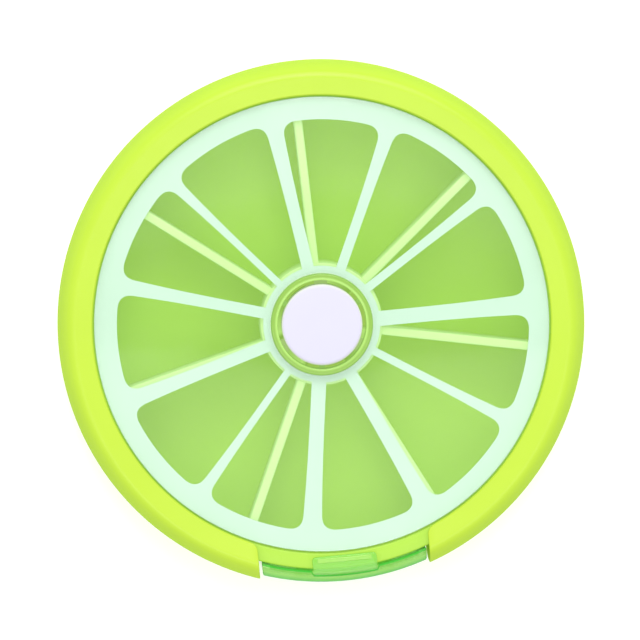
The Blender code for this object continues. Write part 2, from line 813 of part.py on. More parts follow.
def pawl_outline(start):
    """Root and curved arm of one pawl."""
    end = start + PAWL_ARM_ANGLE
    outline = arc(PAWL_OUTER_RADIUS, start, end, CORNER_STEPS * 2)
    outline += arc(PAWL_INNER_RADIUS, end, start + PAWL_ROOT_ANGLE, CORNER_STEPS * 2)
    inside = (NUT_RADIUS + STEM_RADIUS + STEM_LOBE) / 2.0
    outline += arc(inside, start + PAWL_ROOT_ANGLE, start, 2)
    return outline


def make_indexer(material):
    """Collar with the twisted hole, three spring arms and a pawl at the end of each."""
    indexer = add_part(
        "indexer",
        cylinder_mesh("indexer", NUT_RADIUS, (0, 0, NUT_BOTTOM), (0, 0, NUT_TOP), SMALL_STEPS),
        material,
    )
    arm_top = PAWL_ARM_BOTTOM + PAWL_ARM_THICKNESS
    arm = outline_mesh("pawl_arm", [pawl_outline(0.0)], PAWL_ARM_BOTTOM, arm_top)
    tooth_start = PAWL_ARM_ANGLE - PAWL_TOOTH_ANGLE
    tooth_inset = (PAWL_OUTER_RADIUS - PAWL_INNER_RADIUS) / 8.0
    tooth_outline = arc(PAWL_OUTER_RADIUS - tooth_inset, tooth_start, PAWL_ARM_ANGLE, 2)
    tooth_outline += arc(PAWL_INNER_RADIUS + tooth_inset, PAWL_ARM_ANGLE, tooth_start, 2)
    tooth_middle = (PAWL_ARM_BOTTOM + arm_top) / 2.0
    tooth = outline_mesh("pawl_tooth", [tooth_outline], RATCHET_CREST + GAP, tooth_middle)
    teeth_apart = [round(index * COMPARTMENTS / PAWLS) for index in range(PAWLS)]
    angles = [RATCHET_START + TOOTH_PITCH * count for count in teeth_apart]
    arms = add_guide("pawl_arms", merged_copies("pawl_arms", arm, angles))
    teeth = add_guide("pawl_teeth", merged_copies("pawl_teeth", tooth, angles))
    join(indexer, arms)
    join(indexer, teeth)
    low = NUT_BOTTOM - OVERRUN
    high = NUT_TOP + OVERRUN
    rings = STEM_RINGS // 2
    hole_mesh = lobed_mesh("twisted_hole", STEM_RADIUS + STEM_CLEARANCE, low, high, rings)
    hole = add_guide("twisted_hole", hole_mesh)
    twist(hole, low, high)
    cut_closed(indexer, hole)
    smooth(indexer)
    return indexer


def make_ratchet_ring(material):
    """Ring whose top rises in seven ramps, each with a steep back."""
    profile = [
        (RATCHET_RADIUS, RATCHET_BASE_TOP),
        (RATCHET_RADIUS, RATCHET_BOTTOM),
        (WEB_BORE_RADIUS, RATCHET_BOTTOM),
        (WEB_BORE_RADIUS, RATCHET_BASE_TOP),
    ]
    ring = add_part("ratchet_ring", profile_mesh("ratchet_ring", profile, True), material)
    revolve(ring, COMPARTMENTS * RATCHET_STEPS)
    apply_modifiers(ring)
    middle = (RATCHET_BOTTOM + RATCHET_BASE_TOP) / 2.0
    for vertex in ring.data.vertices:
        if vertex.co.z > middle:
            turn = math.atan2(vertex.co.y, vertex.co.x) % TOOTH_PITCH
            step = round(RATCHET_STEPS * turn / TOOTH_PITCH) % RATCHET_STEPS
            vertex.co.z += RATCHET_TOOTH * step / (RATCHET_STEPS - 1)
    ring.data.transform(Matrix.Rotation(RATCHET_START, 4, "Z"))
    smooth(ring)
    return ring


def make_return_spring(material):
    """Coil spring inside the stem, one unbroken tube."""
    curve = bpy.data.curves.new("return_spring", "CURVE")
    curve.dimensions = "3D"
    curve.bevel_depth = SPRING_WIRE_RADIUS
    curve.bevel_resolution = 1
    curve.use_fill_caps = True
    count = SPRING_TURNS * SPRING_POINTS_PER_TURN
    points = []
    for index in range(count + 1):
        share = index / count
        x, y = polar(SPRING_RADIUS, 2.0 * math.pi * SPRING_TURNS * share)
        points.append(Vector((x, y, SPRING_BOTTOM + (SPRING_TOP - SPRING_BOTTOM) * share)))
    spline = curve.splines.new("POLY")
    spline.points.add(count)
    for point, place in zip(spline.points, points):
        point.co = (*place, 1)
    spring = add_object("return_spring", curve, PARTS)
    curve.materials.append(material)
    gaps = []
    for index, place in enumerate(points):
        for other in points[index + SPRING_POINTS_PER_TURN // 2 :]:
            gaps.append((other - place).length - 2.0 * SPRING_WIRE_RADIUS)
    print(f"return spring: least gap to itself {min(gaps) / MILLIMETRE:.2f} mm")
    return spring


def make_bottom_cover(material):
    """Floor with foot, rim, centre post, bearing boss, detent finger and hinge barrels."""
    boss_bore = BOSS_RADIUS - BOSS_WALL
    foot_inner = FOOT_OUTER_RADIUS - FOOT_WIDTH
    profile = [
        (0, POST_TOP),
        (POST_RADIUS - GAP, POST_TOP),
        (POST_RADIUS, POST_TOP - GAP),
        (POST_RADIUS, FLOOR_TOP),
        (boss_bore, FLOOR_TOP),
        (boss_bore, BOSS_TOP),
        (BOSS_RADIUS, BOSS_TOP),
        (BOSS_RADIUS, FLOOR_TOP),
        (HUB_BORE_RADIUS, FLOOR_TOP),
        (HUB_BORE_RADIUS, THRUST_RING_TOP),
        (THRUST_RING_RADIUS, THRUST_RING_TOP),
        (THRUST_RING_RADIUS, FLOOR_TOP),
        (COVER_RADIUS - COVER_RIM_WIDTH, FLOOR_TOP),
        (COVER_RADIUS - COVER_RIM_WIDTH, COVER_RIM_TOP),
        (COVER_RADIUS, COVER_RIM_TOP),
        (COVER_RADIUS, FLOOR_MIDDLE + SNAP_HEIGHT / 2.0),
        (COVER_RADIUS + SNAP_DEPTH, FLOOR_MIDDLE),
        (COVER_RADIUS, FLOOR_MIDDLE - SNAP_HEIGHT / 2.0),
        (COVER_RADIUS, RIND_FOOT),
        (FOOT_OUTER_RADIUS, RIND_FOOT),
        (FOOT_OUTER_RADIUS, 0),
        (foot_inner, 0),
        (foot_inner, RIND_FOOT),
        (0, RIND_FOOT),
    ]
    cover = add_part("bottom_cover", profile_mesh("bottom_cover", profile, False), material)
    revolve(cover, CASE_STEPS)
    add_detent(cover)
    add_hinge(cover)
    smooth(cover)
    return cover


def add_detent(cover):
    """Free a finger in the boss with two slits and give it the nub that clicks in the tray."""
    nub_middle = BOSS_RADIUS + DETENT_REACH - DETENT_NUB_RADIUS
    nub_low = (0, nub_middle, DETENT_HEIGHT - DETENT_HALF_HEIGHT)
    nub_high = (0, nub_middle, DETENT_HEIGHT + DETENT_HALF_HEIGHT)
    nub = cylinder_mesh("detent_nub", DETENT_NUB_RADIUS, nub_low, nub_high, PIN_STEPS)
    join(cover, add_guide("detent_nub", nub))
    half = SLIT_WIDTH / 2.0
    slit = box_mesh(
        "detent_slit",
        (POST_RADIUS + half, -half, SLIT_BOTTOM),
        (BOSS_RADIUS + half, half, BOSS_TOP + OVERRUN),
    )
    middle = math.pi / 2.0
    slits = merged_copies("detent_slits", slit, (middle - SLIT_ANGLE, middle + SLIT_ANGLE))
    cut(cover, add_guide("detent_slits", slits))


def add_hinge(cover):
    """Sill and fixed barrels in front of the floor, bored for the pin."""
    sill_front = HINGE_RADIUS - BARREL_RADIUS - GAP
    sill_back = FOOT_OUTER_RADIUS + GAP
    sill = box_mesh(
        "hinge_sill",
        (-HINGE_HALF_LENGTH, -sill_front, RIND_FOOT + GAP / 3.0),
        (HINGE_HALF_LENGTH, -sill_back, FLOOR_TOP - GAP / 3.0),
    )
    join(cover, add_guide("hinge_sill", sill))
    inner = KNUCKLE_INNER - GAP
    outer = KNUCKLE_OUTER + GAP
    for index, (left, right) in enumerate(
        ((-HINGE_HALF_LENGTH, -outer), (-inner, inner), (outer, HINGE_HALF_LENGTH))
    ):
        join(cover, add_guide(f"hinge_barrel_{index}", barrel_mesh(left, right)))
        web = box_mesh(
            "hinge_web",
            (left + GAP / 3.0, -HINGE_RADIUS, HINGE_HEIGHT - BARREL_RADIUS / 2.0),
            (right - GAP / 3.0, -sill_front + OVERRUN, HINGE_HEIGHT),
        )
        join(cover, add_guide(f"hinge_web_{index}", web))
    cut(cover, pin_bore())


def barrel_mesh(left, right):
    """A hinge barrel between two places along the hinge."""
    low = (left, -HINGE_RADIUS, HINGE_HEIGHT)
    high = (right, -HINGE_RADIUS, HINGE_HEIGHT)
    return cylinder_mesh("barrel", BARREL_RADIUS, low, high, PIN_STEPS)


def pin_bore():
    """Cutter for the pin's hole through every barrel."""
    reach = HINGE_HALF_LENGTH + OVERRUN
    low = (-reach, -HINGE_RADIUS, HINGE_HEIGHT)
    high = (reach, -HINGE_RADIUS, HINGE_HEIGHT)
    return add_guide("pin_bore", cylinder_mesh("pin_bore", BARREL_BORE_RADIUS, low, high, PIN_STEPS))


def make_lid_pin(material):
    """Steel pin through the lid's and the cover's barrels."""
    reach = HINGE_HALF_LENGTH - GAP
    low = (-reach, -HINGE_RADIUS, HINGE_HEIGHT)
    high = (reach, -HINGE_RADIUS, HINGE_HEIGHT)
    mesh = cylinder_mesh("lid_pin", PIN_RADIUS, low, high, PIN_STEPS)
    pin = add_part("lid_pin", mesh, material)
    smooth(pin)
    return pin


def make_compartment_tray(material):
    """Floor, hub and seven walls, with detent notches in the hub's web."""
    profile = [
        (HUB_TOP_RADIUS, HUB_TOP),
        (HUB_FOOT_RADIUS, TRAY_FLOOR_TOP + HUB_FOOT_STEP),
        (HUB_FOOT_RADIUS + HUB_FOOT_STEP, TRAY_FLOOR_TOP + HUB_FOOT_STEP),
        (HUB_FOOT_RADIUS + HUB_FOOT_STEP, TRAY_FLOOR_TOP),
        (TRAY_RADIUS, TRAY_FLOOR_TOP),
        (TRAY_RADIUS, TRAY_FLOOR_BOTTOM),
        (HUB_BORE_RADIUS, TRAY_FLOOR_BOTTOM),
        (HUB_BORE_RADIUS, HUB_WEB_BOTTOM),
        (WEB_BORE_RADIUS, HUB_WEB_BOTTOM),
        (WEB_BORE_RADIUS, HUB_WEB_TOP),
        (HUB_BORE_RADIUS, HUB_WEB_TOP),
        (HUB_BORE_RADIUS, HUB_TOP),
    ]
    tray = add_part("compartment_tray", profile_mesh("compartment_tray", profile, True), material)
    revolve(tray, CASE_STEPS)
    wall_middle_radius = HUB_BORE_RADIUS + HUB_WALL / 2.0
    step_radius = LEDGE_RADIUS - RUNNING_GAP
    wall_outline = [
        (wall_middle_radius, TRAY_FLOOR_BOTTOM + TRAY_FLOOR_THICKNESS / 2.0),
        (TRAY_RADIUS - TRAY_WALL_EDGE, TRAY_FLOOR_BOTTOM + TRAY_FLOOR_THICKNESS / 2.0),
        (TRAY_RADIUS - TRAY_WALL_EDGE, TRAY_WALL_TOP),
        (step_radius, TRAY_WALL_TOP),
        (step_radius, HUB_TOP - TRAY_WALL_EDGE),
        (wall_middle_radius, HUB_TOP - TRAY_WALL_EDGE),
    ]
    half = TRAY_WALL / 2.0
    wall = outline_mesh("tray_wall", [wall_outline], -half, half)
    wall.transform(Matrix.Rotation(math.pi / 2.0, 4, "X"))
    angles = spread(COMPARTMENTS, FRONT + TOOTH_PITCH / 2.0 + TRAY_WALL_LEAD)
    join(tray, add_guide("tray_walls", merged_copies("tray_walls", wall, angles)))
    low = (WEB_BORE_RADIUS, 0, HUB_WEB_BOTTOM - OVERRUN)
    high = (WEB_BORE_RADIUS, 0, HUB_WEB_TOP + OVERRUN)
    notch = cylinder_mesh("notch", NOTCH_RADIUS, low, high, PIN_STEPS)
    notches = merged_copies("notches", notch, spread(COMPARTMENTS, math.pi / 2.0))
    cut(tray, add_guide("notches", notches))
    smooth(tray)
    return tray


def make_flip_lid(material):
    """See-through shell over the outlet, with its knuckles and thumb tab."""
    profile = bulge_points(LID_BOTTOM, LID_TOP, BULGE_STEPS, LID_SET_BACK)
    profile[0] = (LID_INNER_RADIUS + GAP, LID_TOP)
    profile.append((LID_INNER_RADIUS, LID_BOTTOM))
    profile.append((LID_INNER_RADIUS, LID_TOP - GAP))
    lid = add_part("flip_lid", profile_mesh("flip_lid", profile, True), material)
    revolve(lid, LARGE_STEPS)
    trim(lid, "lid_trim", LID_HALF_WIDTH)

    low = LID_BOTTOM + LID_WALL
    high = LID_TOP - LID_WALL
    inner_profile = bulge_points(low, high, HOLLOW_STEPS, LID_SET_BACK + LID_WALL)
    inner_profile.append((CASE_RADIUS, low))
    inner_profile.append((CASE_RADIUS, high))
    hollow = add_guide("lid_hollow", profile_mesh("lid_hollow", inner_profile, True))
    revolve(hollow, LARGE_STEPS)
    trim(hollow, "lid_hollow_trim", LID_HALF_WIDTH - LID_WALL)
    cut(lid, hollow)
    add_tab(lid)
    add_knuckles(lid)
    apply_modifiers(lid)
    set_origin(lid, (0, -HINGE_RADIUS, HINGE_HEIGHT))
    smooth(lid)
    return lid


def trim(item, name, half_width):
    """Keep the part of a turned shape that lies in front of the outlet."""
    low = (-half_width, -RIND_RADIUS - OVERRUN, -OVERRUN)
    high = (half_width, 0, RIND_TOP + OVERRUN)
    keep_inside(item, add_guide(name, box_mesh(name, low, high)))


def add_tab(lid):
    """Thumb tab over the flange, with a root in the lid's top and a ridge on its inner edge."""
    tab_bottom = FLANGE_TOP + GAP
    tab_top = tab_bottom + TAB_THICKNESS
    tab = box_mesh(
        "lid_tab",
        (-TAB_HALF_WIDTH, -TAB_ROOT, tab_bottom),
        (TAB_HALF_WIDTH, -TAB_REACH, tab_top),
    )
    tab_guide = add_guide("lid_tab", tab)
    round_along(tab_guide, "Z", TAB_CORNER)
    join(lid, tab_guide)
    inset = TAB_CORNER + GAP
    root = box_mesh(
        "lid_tab_root",
        (-TAB_HALF_WIDTH + inset, -TAB_ROOT + GAP / 3.0, LID_TOP - LID_WALL / 2.0),
        (TAB_HALF_WIDTH - inset, -LID_INNER_RADIUS, tab_top - GAP / 2.0),
    )
    join(lid, add_guide("lid_tab_root", root))
    ridge = box_mesh(
        "lid_tab_ridge",
        (-TAB_HALF_WIDTH + inset, -TAB_REACH - TAB_RIDGE_WIDTH - GAP, tab_bottom + GAP),
        (TAB_HALF_WIDTH - inset, -TAB_REACH - GAP, tab_top + TAB_RIDGE_HEIGHT),
    )
    join(lid, add_guide("lid_tab_ridge", ridge))


def add_knuckles(lid):
    """Two barrels under the lid's lower edge, each on a short web."""
    for index, sign in enumerate((-1.0, 1.0)):
        left, right = sorted((sign * KNUCKLE_INNER, sign * KNUCKLE_OUTER))
        join(lid, add_guide(f"knuckle_{index}", barrel_mesh(left, right)))
        web = box_mesh(
            "knuckle_web",
            (left + GAP / 3.0, -HINGE_RADIUS - BARREL_RADIUS / 2.0, HINGE_HEIGHT),
            (right - GAP / 3.0, -HINGE_RADIUS + BARREL_RADIUS / 2.0, LID_BOTTOM + LID_WALL / 2.0),
        )
        join(lid, add_guide(f"knuckle_web_{index}", web))
    cut(lid, pin_bore())


def build():
    """Make every sub-part of the organizer."""
    lime = plastic("lime_plastic", (0.62, 0.93, 0.06), 0.25)
    pale_lime = plastic("pale_lime_plastic", (0.55, 0.85, 0.28), 0.35)
    mint = plastic("mint_plastic", (0.66, 0.93, 0.72), 0.4)
    clear = plastic("clear_plastic", (0.95, 1.0, 0.95), 0.05, alpha=0.25)
    green = plastic("clear_green_plastic", (0.25, 0.85, 0.2), 0.08, alpha=0.7)
    white = plastic("white_plastic", (0.9, 0.9, 0.95), 0.3)
    steel = plastic("steel", (0.6, 0.6, 0.62), 0.3, metallic=1.0)
    make_bottom_cover(lime)
    make_upper_case(lime)
    make_rind_ring(lime)
    make_compartment_tray(pale_lime)
    make_ratchet_ring(pale_lime)
    make_indexer(pale_lime)
    make_drive_stem(white)
    make_push_button(white)
    make_return_spring(steel)
    make_slice_inlay(mint)
    make_window(clear)
    make_flip_lid(green)
    make_lid_pin(steel)


build()
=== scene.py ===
"""Looks of the round weekly pill organizer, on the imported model's frame.

Metres, +Z up, origin at the middle of the face it rests on, outlet towards -Y.
"""

import math

import bmesh
import bpy
from mathutils import Matrix, Vector


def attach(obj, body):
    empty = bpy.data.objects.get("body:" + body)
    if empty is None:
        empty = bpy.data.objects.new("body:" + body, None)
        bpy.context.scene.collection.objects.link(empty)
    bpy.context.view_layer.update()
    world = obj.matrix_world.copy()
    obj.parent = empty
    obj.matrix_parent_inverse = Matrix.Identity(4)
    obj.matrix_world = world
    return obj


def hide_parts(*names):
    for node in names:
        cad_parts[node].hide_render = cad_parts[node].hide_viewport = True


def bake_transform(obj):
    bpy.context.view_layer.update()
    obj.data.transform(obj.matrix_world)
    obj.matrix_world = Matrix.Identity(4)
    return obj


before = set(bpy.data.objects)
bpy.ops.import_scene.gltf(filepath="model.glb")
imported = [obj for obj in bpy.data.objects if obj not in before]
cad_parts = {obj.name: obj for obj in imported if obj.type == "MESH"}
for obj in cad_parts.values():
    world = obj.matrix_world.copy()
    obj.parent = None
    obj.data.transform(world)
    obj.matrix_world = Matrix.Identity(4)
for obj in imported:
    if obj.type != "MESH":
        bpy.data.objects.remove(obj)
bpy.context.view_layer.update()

# Camera: nearly straight above, leaning to the upper left of the picture
CAMERA_DISTANCE = 1.20
CAMERA_AIM = (-0.0001, 0.0004, 0.0123)
CAMERA_ROLL = math.radians(5.5)
CAMERA_LEAN_RIGHT = -0.0175
CAMERA_LEAN_UP = 0.035
SENSOR_WIDTH = 36.0
FRAME_WIDTH = 0.1119

# Floor and room
FLOOR_SIZE = 6.0
FLOOR_COLOUR = (0.93, 0.93, 0.93)
ROOM_COLOUR = (1.0, 1.0, 1.0)
ROOM_STRENGTH = 1.12
KEY_PLACE = (0.08, 0.75, 0.83)
KEY_SIZE = 0.83
KEY_RADIANCE = 3.3
STRIP_NEAR_EDGE = 0.17
STRIP_DEPTH = 0.55
STRIP_WIDTH = 0.26
STRIP_RADIANCE = 5.0
LIGHT_HEIGHT = 1.0
PANEL_NEAR_EDGE = -0.058
PANEL_DEPTH = 0.34
PANEL_WIDTH = 0.60
PANEL_RADIANCE = 2.4

# Colours, as linear red, green and blue
LIME = (0.335, 0.475, 0.033)
# Painted shade: the ring's lime grows darker from its crown to its outer side
SHADED_SIDE_LIME = (0.285, 0.44, 0.026)
DEEP_LIME = (0.24, 0.40, 0.040)
# Painted shade and light: the tray's lime darker down at the floor, lighter up at the wall tops
TRAY_FLOOR_SHADED_LIME = (0.185, 0.345, 0.018)
TRAY_TOP_LIT_LIME = (0.29, 0.45, 0.155)
INNER_LIME = (0.30, 0.42, 0.10)
# Painted shade: the ratchet ring darker in its lower half, lighter at its top
RATCHET_SHADED_LIME = (0.22, 0.34, 0.07)
RATCHET_LIT_LIME = (0.42, 0.58, 0.20)
# Painted green light on the button's lower part, where the green plastic of the hub lights it
BUTTON_LOW_GREEN_LIGHT = (0.31, 0.41, 0.16)
MINT = (0.32, 0.455, 0.35)
WHITE = (0.49, 0.48, 0.575)
# Painted light on the button's rim
BUTTON_RIM_LIGHT = (0.55, 0.58, 0.50)
CLEAR_TINT = (1.0, 1.0, 1.0)
HAZE = (0.80, 0.95, 0.80)
# The collar's green, with a painted highlight at its inner edge and painted shade at its outer edge
SLEEVE_HIGHLIGHT = (0.40, 0.64, 0.17)
SLEEVE_GREEN = (0.20, 0.35, 0.062)
SLEEVE_SHADE = (0.15, 0.30, 0.05)
GREEN_TINT = (0.84, 1.00, 0.70)
GREEN_SURFACE = (0.23, 0.48, 0.09)
# Fuller green where the lid turns away from the eye, also the painted shade of the gap along its inner
# edge
GREEN_EDGE_AND_GAP_SHADE = (0.032, 0.28, 0.02)
# Painted highlight on the tab's ridge
RIDGE_HIGHLIGHT_GREEN = (0.41, 0.58, 0.17)
STEEL = (0.62, 0.62, 0.63)

# Painted glow: light that each piece gives off in its own colour, standing in for light that see-through
# and pale plastic passes on from behind and lifting its shade, as a share of its colour; on the floor it
# keeps the floor evenly bright
RING_GLOW_SHARE = 0.25
CASE_GLOW_SHARE = 0.60
TRAY_GLOW_SHARE = 0.90
MINT_GLOW_SHARE = 0.60
INNER_GLOW_SHARE = 0.80
SLEEVE_GLOW_SHARE = 0.40
LID_GLOW_SHARE = 0.50
FLOOR_GLOW_SHARE = 0.15

# Share of the light that gloss sends back, seen straight on and at a glancing angle
FACING_GLOSS = 0.022
GLANCING_GLOSS = 0.08
CLEAR_GLANCING_GLOSS = 0.25

# Sizes of the finishes' details
MOTTLE_SIZE = 0.012
PATCH_SIZE = 0.004
GRAIN_SIZE = 0.00035
PEEL_SIZE = 0.0016
PEEL_DEPTH = 0.000003
MOTTLE_DETAIL = 3.0
GRAIN_DETAIL = 4.0
PEEL_DETAIL = 2.0

# Part of the noise that the marks use, and how far they change a colour or a roughness
NOISE_LOW = 0.3
NOISE_HIGH = 0.7
MOTTLE_SHARE = 0.03
STEEL_MARK_SHADE = 0.85
FIBRE_SHADE = 0.995
ROUGHNESS_SPREAD = 0.07

# Roughness of each finish
RING_ROUGHNESS = 0.20
CASE_ROUGHNESS = 0.25
INNER_ROUGHNESS = 0.35
TRAY_ROUGHNESS = 0.4
MINT_ROUGHNESS = 0.5
LID_ROUGHNESS = 0.3
LID_COAT_ROUGHNESS = 0.06
WINDOW_COAT_ROUGHNESS = 0.03
STEEL_ROUGHNESS = 0.28
FLOOR_ROUGHNESS = 0.9
GLOSS_LEVEL = 0.15
COAT_IOR = 1.35

# Share of a see-through surface that looks solid, and how far it turns away before it fills
WINDOW_SOLID_SHARE = 0.01
COLLAR_SOLID_SHARE = 0.75
LID_SOLID_SHARE = 0.30
LID_EDGE_SOLID_SHARE = 0.85
LID_TURN_START = 0.55
LID_TURN_END = 0.95

# Facet counts
RING_STEPS = 240
ARC_STEPS = 72
EDGE_STEPS = 4
BULGE_STEPS = 40
OUTLINE_STEPS = 16

# Shared clearances
GAP = 0.0003
OVERRUN = 0.001
MERGE_DISTANCE = 0.000001
SHARP_ANGLE = math.radians(35.0)

# Rind ring
RIND_RADIUS = 0.0460
RIND_TOP = 0.0240
RIND_FOOT = 0.0006
RIND_BULGE = 0.0032
RIND_BULGE_EXPONENT = 2.5
RIND_LIP_THICKNESS = 0.0006
RIND_LIP_SET_BACK = -0.00005
RIND_LIP_POINTS = 12
RIND_END_ROUND = 0.0002
RIND_END_CORNER = 0.0011
RIND_BOTTOM_RIM = 0.0014

# Upper case with its outlet
CASE_INSET = 0.0035
CASE_WALL = 0.0015
CASE_BOTTOM = 0.0009
FLANGE_TOP = 0.0227
FLANGE_WIDTH = 0.0027
FLANGE_ROUND = 0.0003
LEDGE_THICKNESS = 0.0011
LEDGE_REACH = 0.0015
SNAP_DEPTH = 0.0003
SNAP_GROOVE_HEIGHT = 0.0009
OUTLET_HALF_WIDTH = 0.0130
OUTLET_BOTTOM = 0.0044
OUTLET_TOP = 0.0194
OUTLET_CORNER = 0.0015
NOTCH_HALF_WIDTH = 0.0088
NOTCH_TOP = 0.0034

# Window and the mint slice under it
WINDOW_THICKNESS = 0.0013
WINDOW_ROUND = 0.00025
COLLAR_WIDTH = 0.0011
COLLAR_HEIGHT = 0.0007
SLEEVE_INSET = 0.0002
SLEEVE_BOTTOM = 0.0181
RIBS = 3
RIB_WIDTH = 0.0010
RIB_REACH = 0.0006
RIB_HEIGHT = 0.0015
RIB_START = math.radians(25.5)
INLAY_THICKNESS = 0.0004
INLAY_MARGIN = 0.00005
INLAY_BORE_MARGIN = 0.0001
SLICE_SEGMENTS = 11
SEGMENT_INNER_RADIUS = 0.01015
SLICE_RIM_WIDTH = 0.00355
SEGMENT_CORNER = 0.0025
SPOKE_WIDTH = 0.0018
SPOKE_FLARE = 0.0010
SPOKE_FLARE_EXPONENT = 3.0
SPOKE_WIDTH_SHARES = (1.44, 0.80, 0.94, 1.14, 0.67, 1.08, 1.17, 0.69, 1.39, 1.25, 0.75)
SEGMENT_REACH_SHARES = (1.000, 1.008, 0.990, 0.999, 0.998, 0.990, 1.003, 1.003, 0.998, 1.009, 1.003)

# Button
BUTTON_RADIUS = 0.0070
BUTTON_TOP = 0.0255
BUTTON_EDGE = 0.0006
BUTTON_WALL = 0.0007
BUTTON_PLAY = 0.0007
BUTTON_BOTTOM = 0.0166
BUTTON_STROKE = 0.0040
HOOKS = 3
HOOK_REACH = 0.0012
HOOK_THICKNESS = 0.0012
HOOK_ANGLE = math.radians(18.0)
HOOK_START = math.radians(76.5)

# Return spring
SPRING_TURNS = 8
SPRING_STEPS = 24
SPRING_RADIUS = 0.0022
SPRING_BOTTOM = 0.00265
SPRING_TOP = 0.01805
SPRING_END_PITCH = 0.0006
WIRE_RADIUS = 0.00025
WIRE_SIDES = 10

# Tray
COMPARTMENTS = 7
TRAY_RADIUS = 0.0406
TRAY_FLOOR_BOTTOM = 0.0029
TRAY_FLOOR_TOP = 0.0041
TRAY_WALL = 0.0015
TRAY_WALL_ROUND = 0.0003
TRAY_WALL_LEAD = math.radians(1.2)
TRAY_WALL_TOP = 0.0186
TRAY_STEP_RADIUS = 0.0379
HUB_TOP = 0.0208
HUB_BORE_RADIUS = 0.0093
HUB_WALL = 0.0013
HUB_TAPER = 0.0003
HUB_FOOT_STEP = 0.0003
HUB_ROUND = 0.00025
HUB_WEB_BOTTOM = 0.0064
HUB_WEB_TOP = 0.0076
WEB_BORE_RADIUS = 0.0069

# Lid
HINGE_INSET = 0.0027
HINGE_HEIGHT = 0.0020
BARREL_RADIUS = 0.00110
BARREL_BORE_RADIUS = 0.00070
KNUCKLE_INNER = 0.0028
KNUCKLE_OUTER = 0.0056
LID_HALF_WIDTH = 0.0143
LID_END_GAP = 0.00055
LID_SET_BACK = 0.00075
LID_WALL = 0.0013
LID_BOTTOM = 0.0036
LID_END_ROUND = 0.0002
LID_SHADE_LINE_WIDTH = 0.0003
TAB_HALF_WIDTH = 0.0056
TAB_INSET = 0.00585
TAB_LENGTH = 0.0033
TAB_THICKNESS = 0.0009
TAB_RIDGE_WIDTH = 0.0008
TAB_RIDGE_HEIGHT = 0.0003
TAB_CORNER = 0.0006
TAB_ROUND = 0.0002

# Places that follow from the sizes above
FRONT = -math.pi / 2.0
CASE_RADIUS = RIND_RADIUS - CASE_INSET
CASE_INNER_RADIUS = CASE_RADIUS - CASE_WALL
RIND_INNER_RADIUS = CASE_RADIUS + GAP
RIND_CROWN_RADIUS = RIND_RADIUS - RIND_BULGE
RIND_MIDDLE = (RIND_TOP + RIND_FOOT) / 2.0
RIND_HALF_HEIGHT = (RIND_TOP - RIND_FOOT) / 2.0
RIND_FRONT_HALF_WIDTH = LID_HALF_WIDTH + LID_END_GAP
FLANGE_BORE_RADIUS = CASE_RADIUS - FLANGE_WIDTH
RIND_LIP_RADIUS = FLANGE_BORE_RADIUS + RIND_LIP_SET_BACK
LEDGE_RADIUS = FLANGE_BORE_RADIUS - LEDGE_REACH
WINDOW_RADIUS = FLANGE_BORE_RADIUS - GAP
WINDOW_TOP = FLANGE_TOP + GAP + RIND_LIP_THICKNESS / 2.0
WINDOW_BOTTOM = WINDOW_TOP - WINDOW_THICKNESS
COLLAR_BORE_RADIUS = BUTTON_RADIUS + BUTTON_PLAY
COLLAR_OUTER_RADIUS = COLLAR_BORE_RADIUS + COLLAR_WIDTH
SLEEVE_RADIUS = COLLAR_OUTER_RADIUS - SLEEVE_INSET
RIB_RADIUS = BUTTON_RADIUS - RIB_REACH
RIB_TOP = SLEEVE_BOTTOM + RIB_HEIGHT
GROOVE_TOP = RIB_TOP + BUTTON_STROKE + GAP
INLAY_RADIUS = WINDOW_RADIUS - INLAY_MARGIN
INLAY_BORE_RADIUS = COLLAR_OUTER_RADIUS + INLAY_BORE_MARGIN
INLAY_TOP = WINDOW_BOTTOM - GAP
INLAY_BOTTOM = INLAY_TOP - INLAY_THICKNESS
SEGMENT_OUTER_RADIUS = INLAY_RADIUS - SLICE_RIM_WIDTH
LEDGE_TOP = INLAY_BOTTOM - GAP
LEDGE_BOTTOM = LEDGE_TOP - LEDGE_THICKNESS
HOOK_RADIUS = BUTTON_RADIUS + HOOK_REACH
HOOK_TOP = BUTTON_BOTTOM + HOOK_THICKNESS
HUB_TOP_RADIUS = HUB_BORE_RADIUS + HUB_WALL
HUB_FOOT_RADIUS = HUB_TOP_RADIUS + HUB_TAPER
HUB_MIDDLE_RADIUS = HUB_BORE_RADIUS + HUB_WALL / 2.0
HINGE_RADIUS = RIND_RADIUS - HINGE_INSET
LID_TOP = RIND_TOP - LID_SET_BACK
TAB_REACH = RIND_RADIUS - TAB_INSET
TAB_ROOT = TAB_REACH + TAB_LENGTH
TAB_BOTTOM = FLANGE_TOP + GAP
TAB_TOP = TAB_BOTTOM + TAB_THICKNESS


# Outlines


def polar(radius, angle):
    """Point at a radius and an angle."""
    return (radius * math.cos(angle), radius * math.sin(angle))


def arc(radius, start, end, steps):
    """Points along an arc about the middle."""
    return [polar(radius, start + (end - start) * index / steps) for index in range(steps + 1)]


def bulge_turn(height, half_height):
    """Angle on the superellipse at which the bulged side has a height."""
    share = max(-1.0, min(1.0, (height - RIND_MIDDLE) / half_height))
    return math.copysign(math.asin(abs(share) ** (RIND_BULGE_EXPONENT / 2.0)), share)


def bulge_points(low, high, inset):
    """The bulged side from high to low, or that of a shell that lies an inset inside it."""
    half_height = RIND_HALF_HEIGHT - inset
    start = bulge_turn(high, half_height)
    end = bulge_turn(low, half_height)
    power = 2.0 / RIND_BULGE_EXPONENT
    points = []
    for index in range(BULGE_STEPS + 1):
        turn = start + (end - start) * index / BULGE_STEPS
        radius = RIND_CROWN_RADIUS + (RIND_BULGE - inset) * max(0.0, math.cos(turn)) ** power
        rise = half_height * abs(math.sin(turn)) ** power
        points.append((radius, RIND_MIDDLE + math.copysign(rise, turn)))
    return points


def run_points(start, end):
    """Points from a place to another, without the first."""
    count = RIND_LIP_POINTS
    first = Vector(start)
    return [tuple(first.lerp(Vector(end), (index + 1) / count)) for index in range(count)]


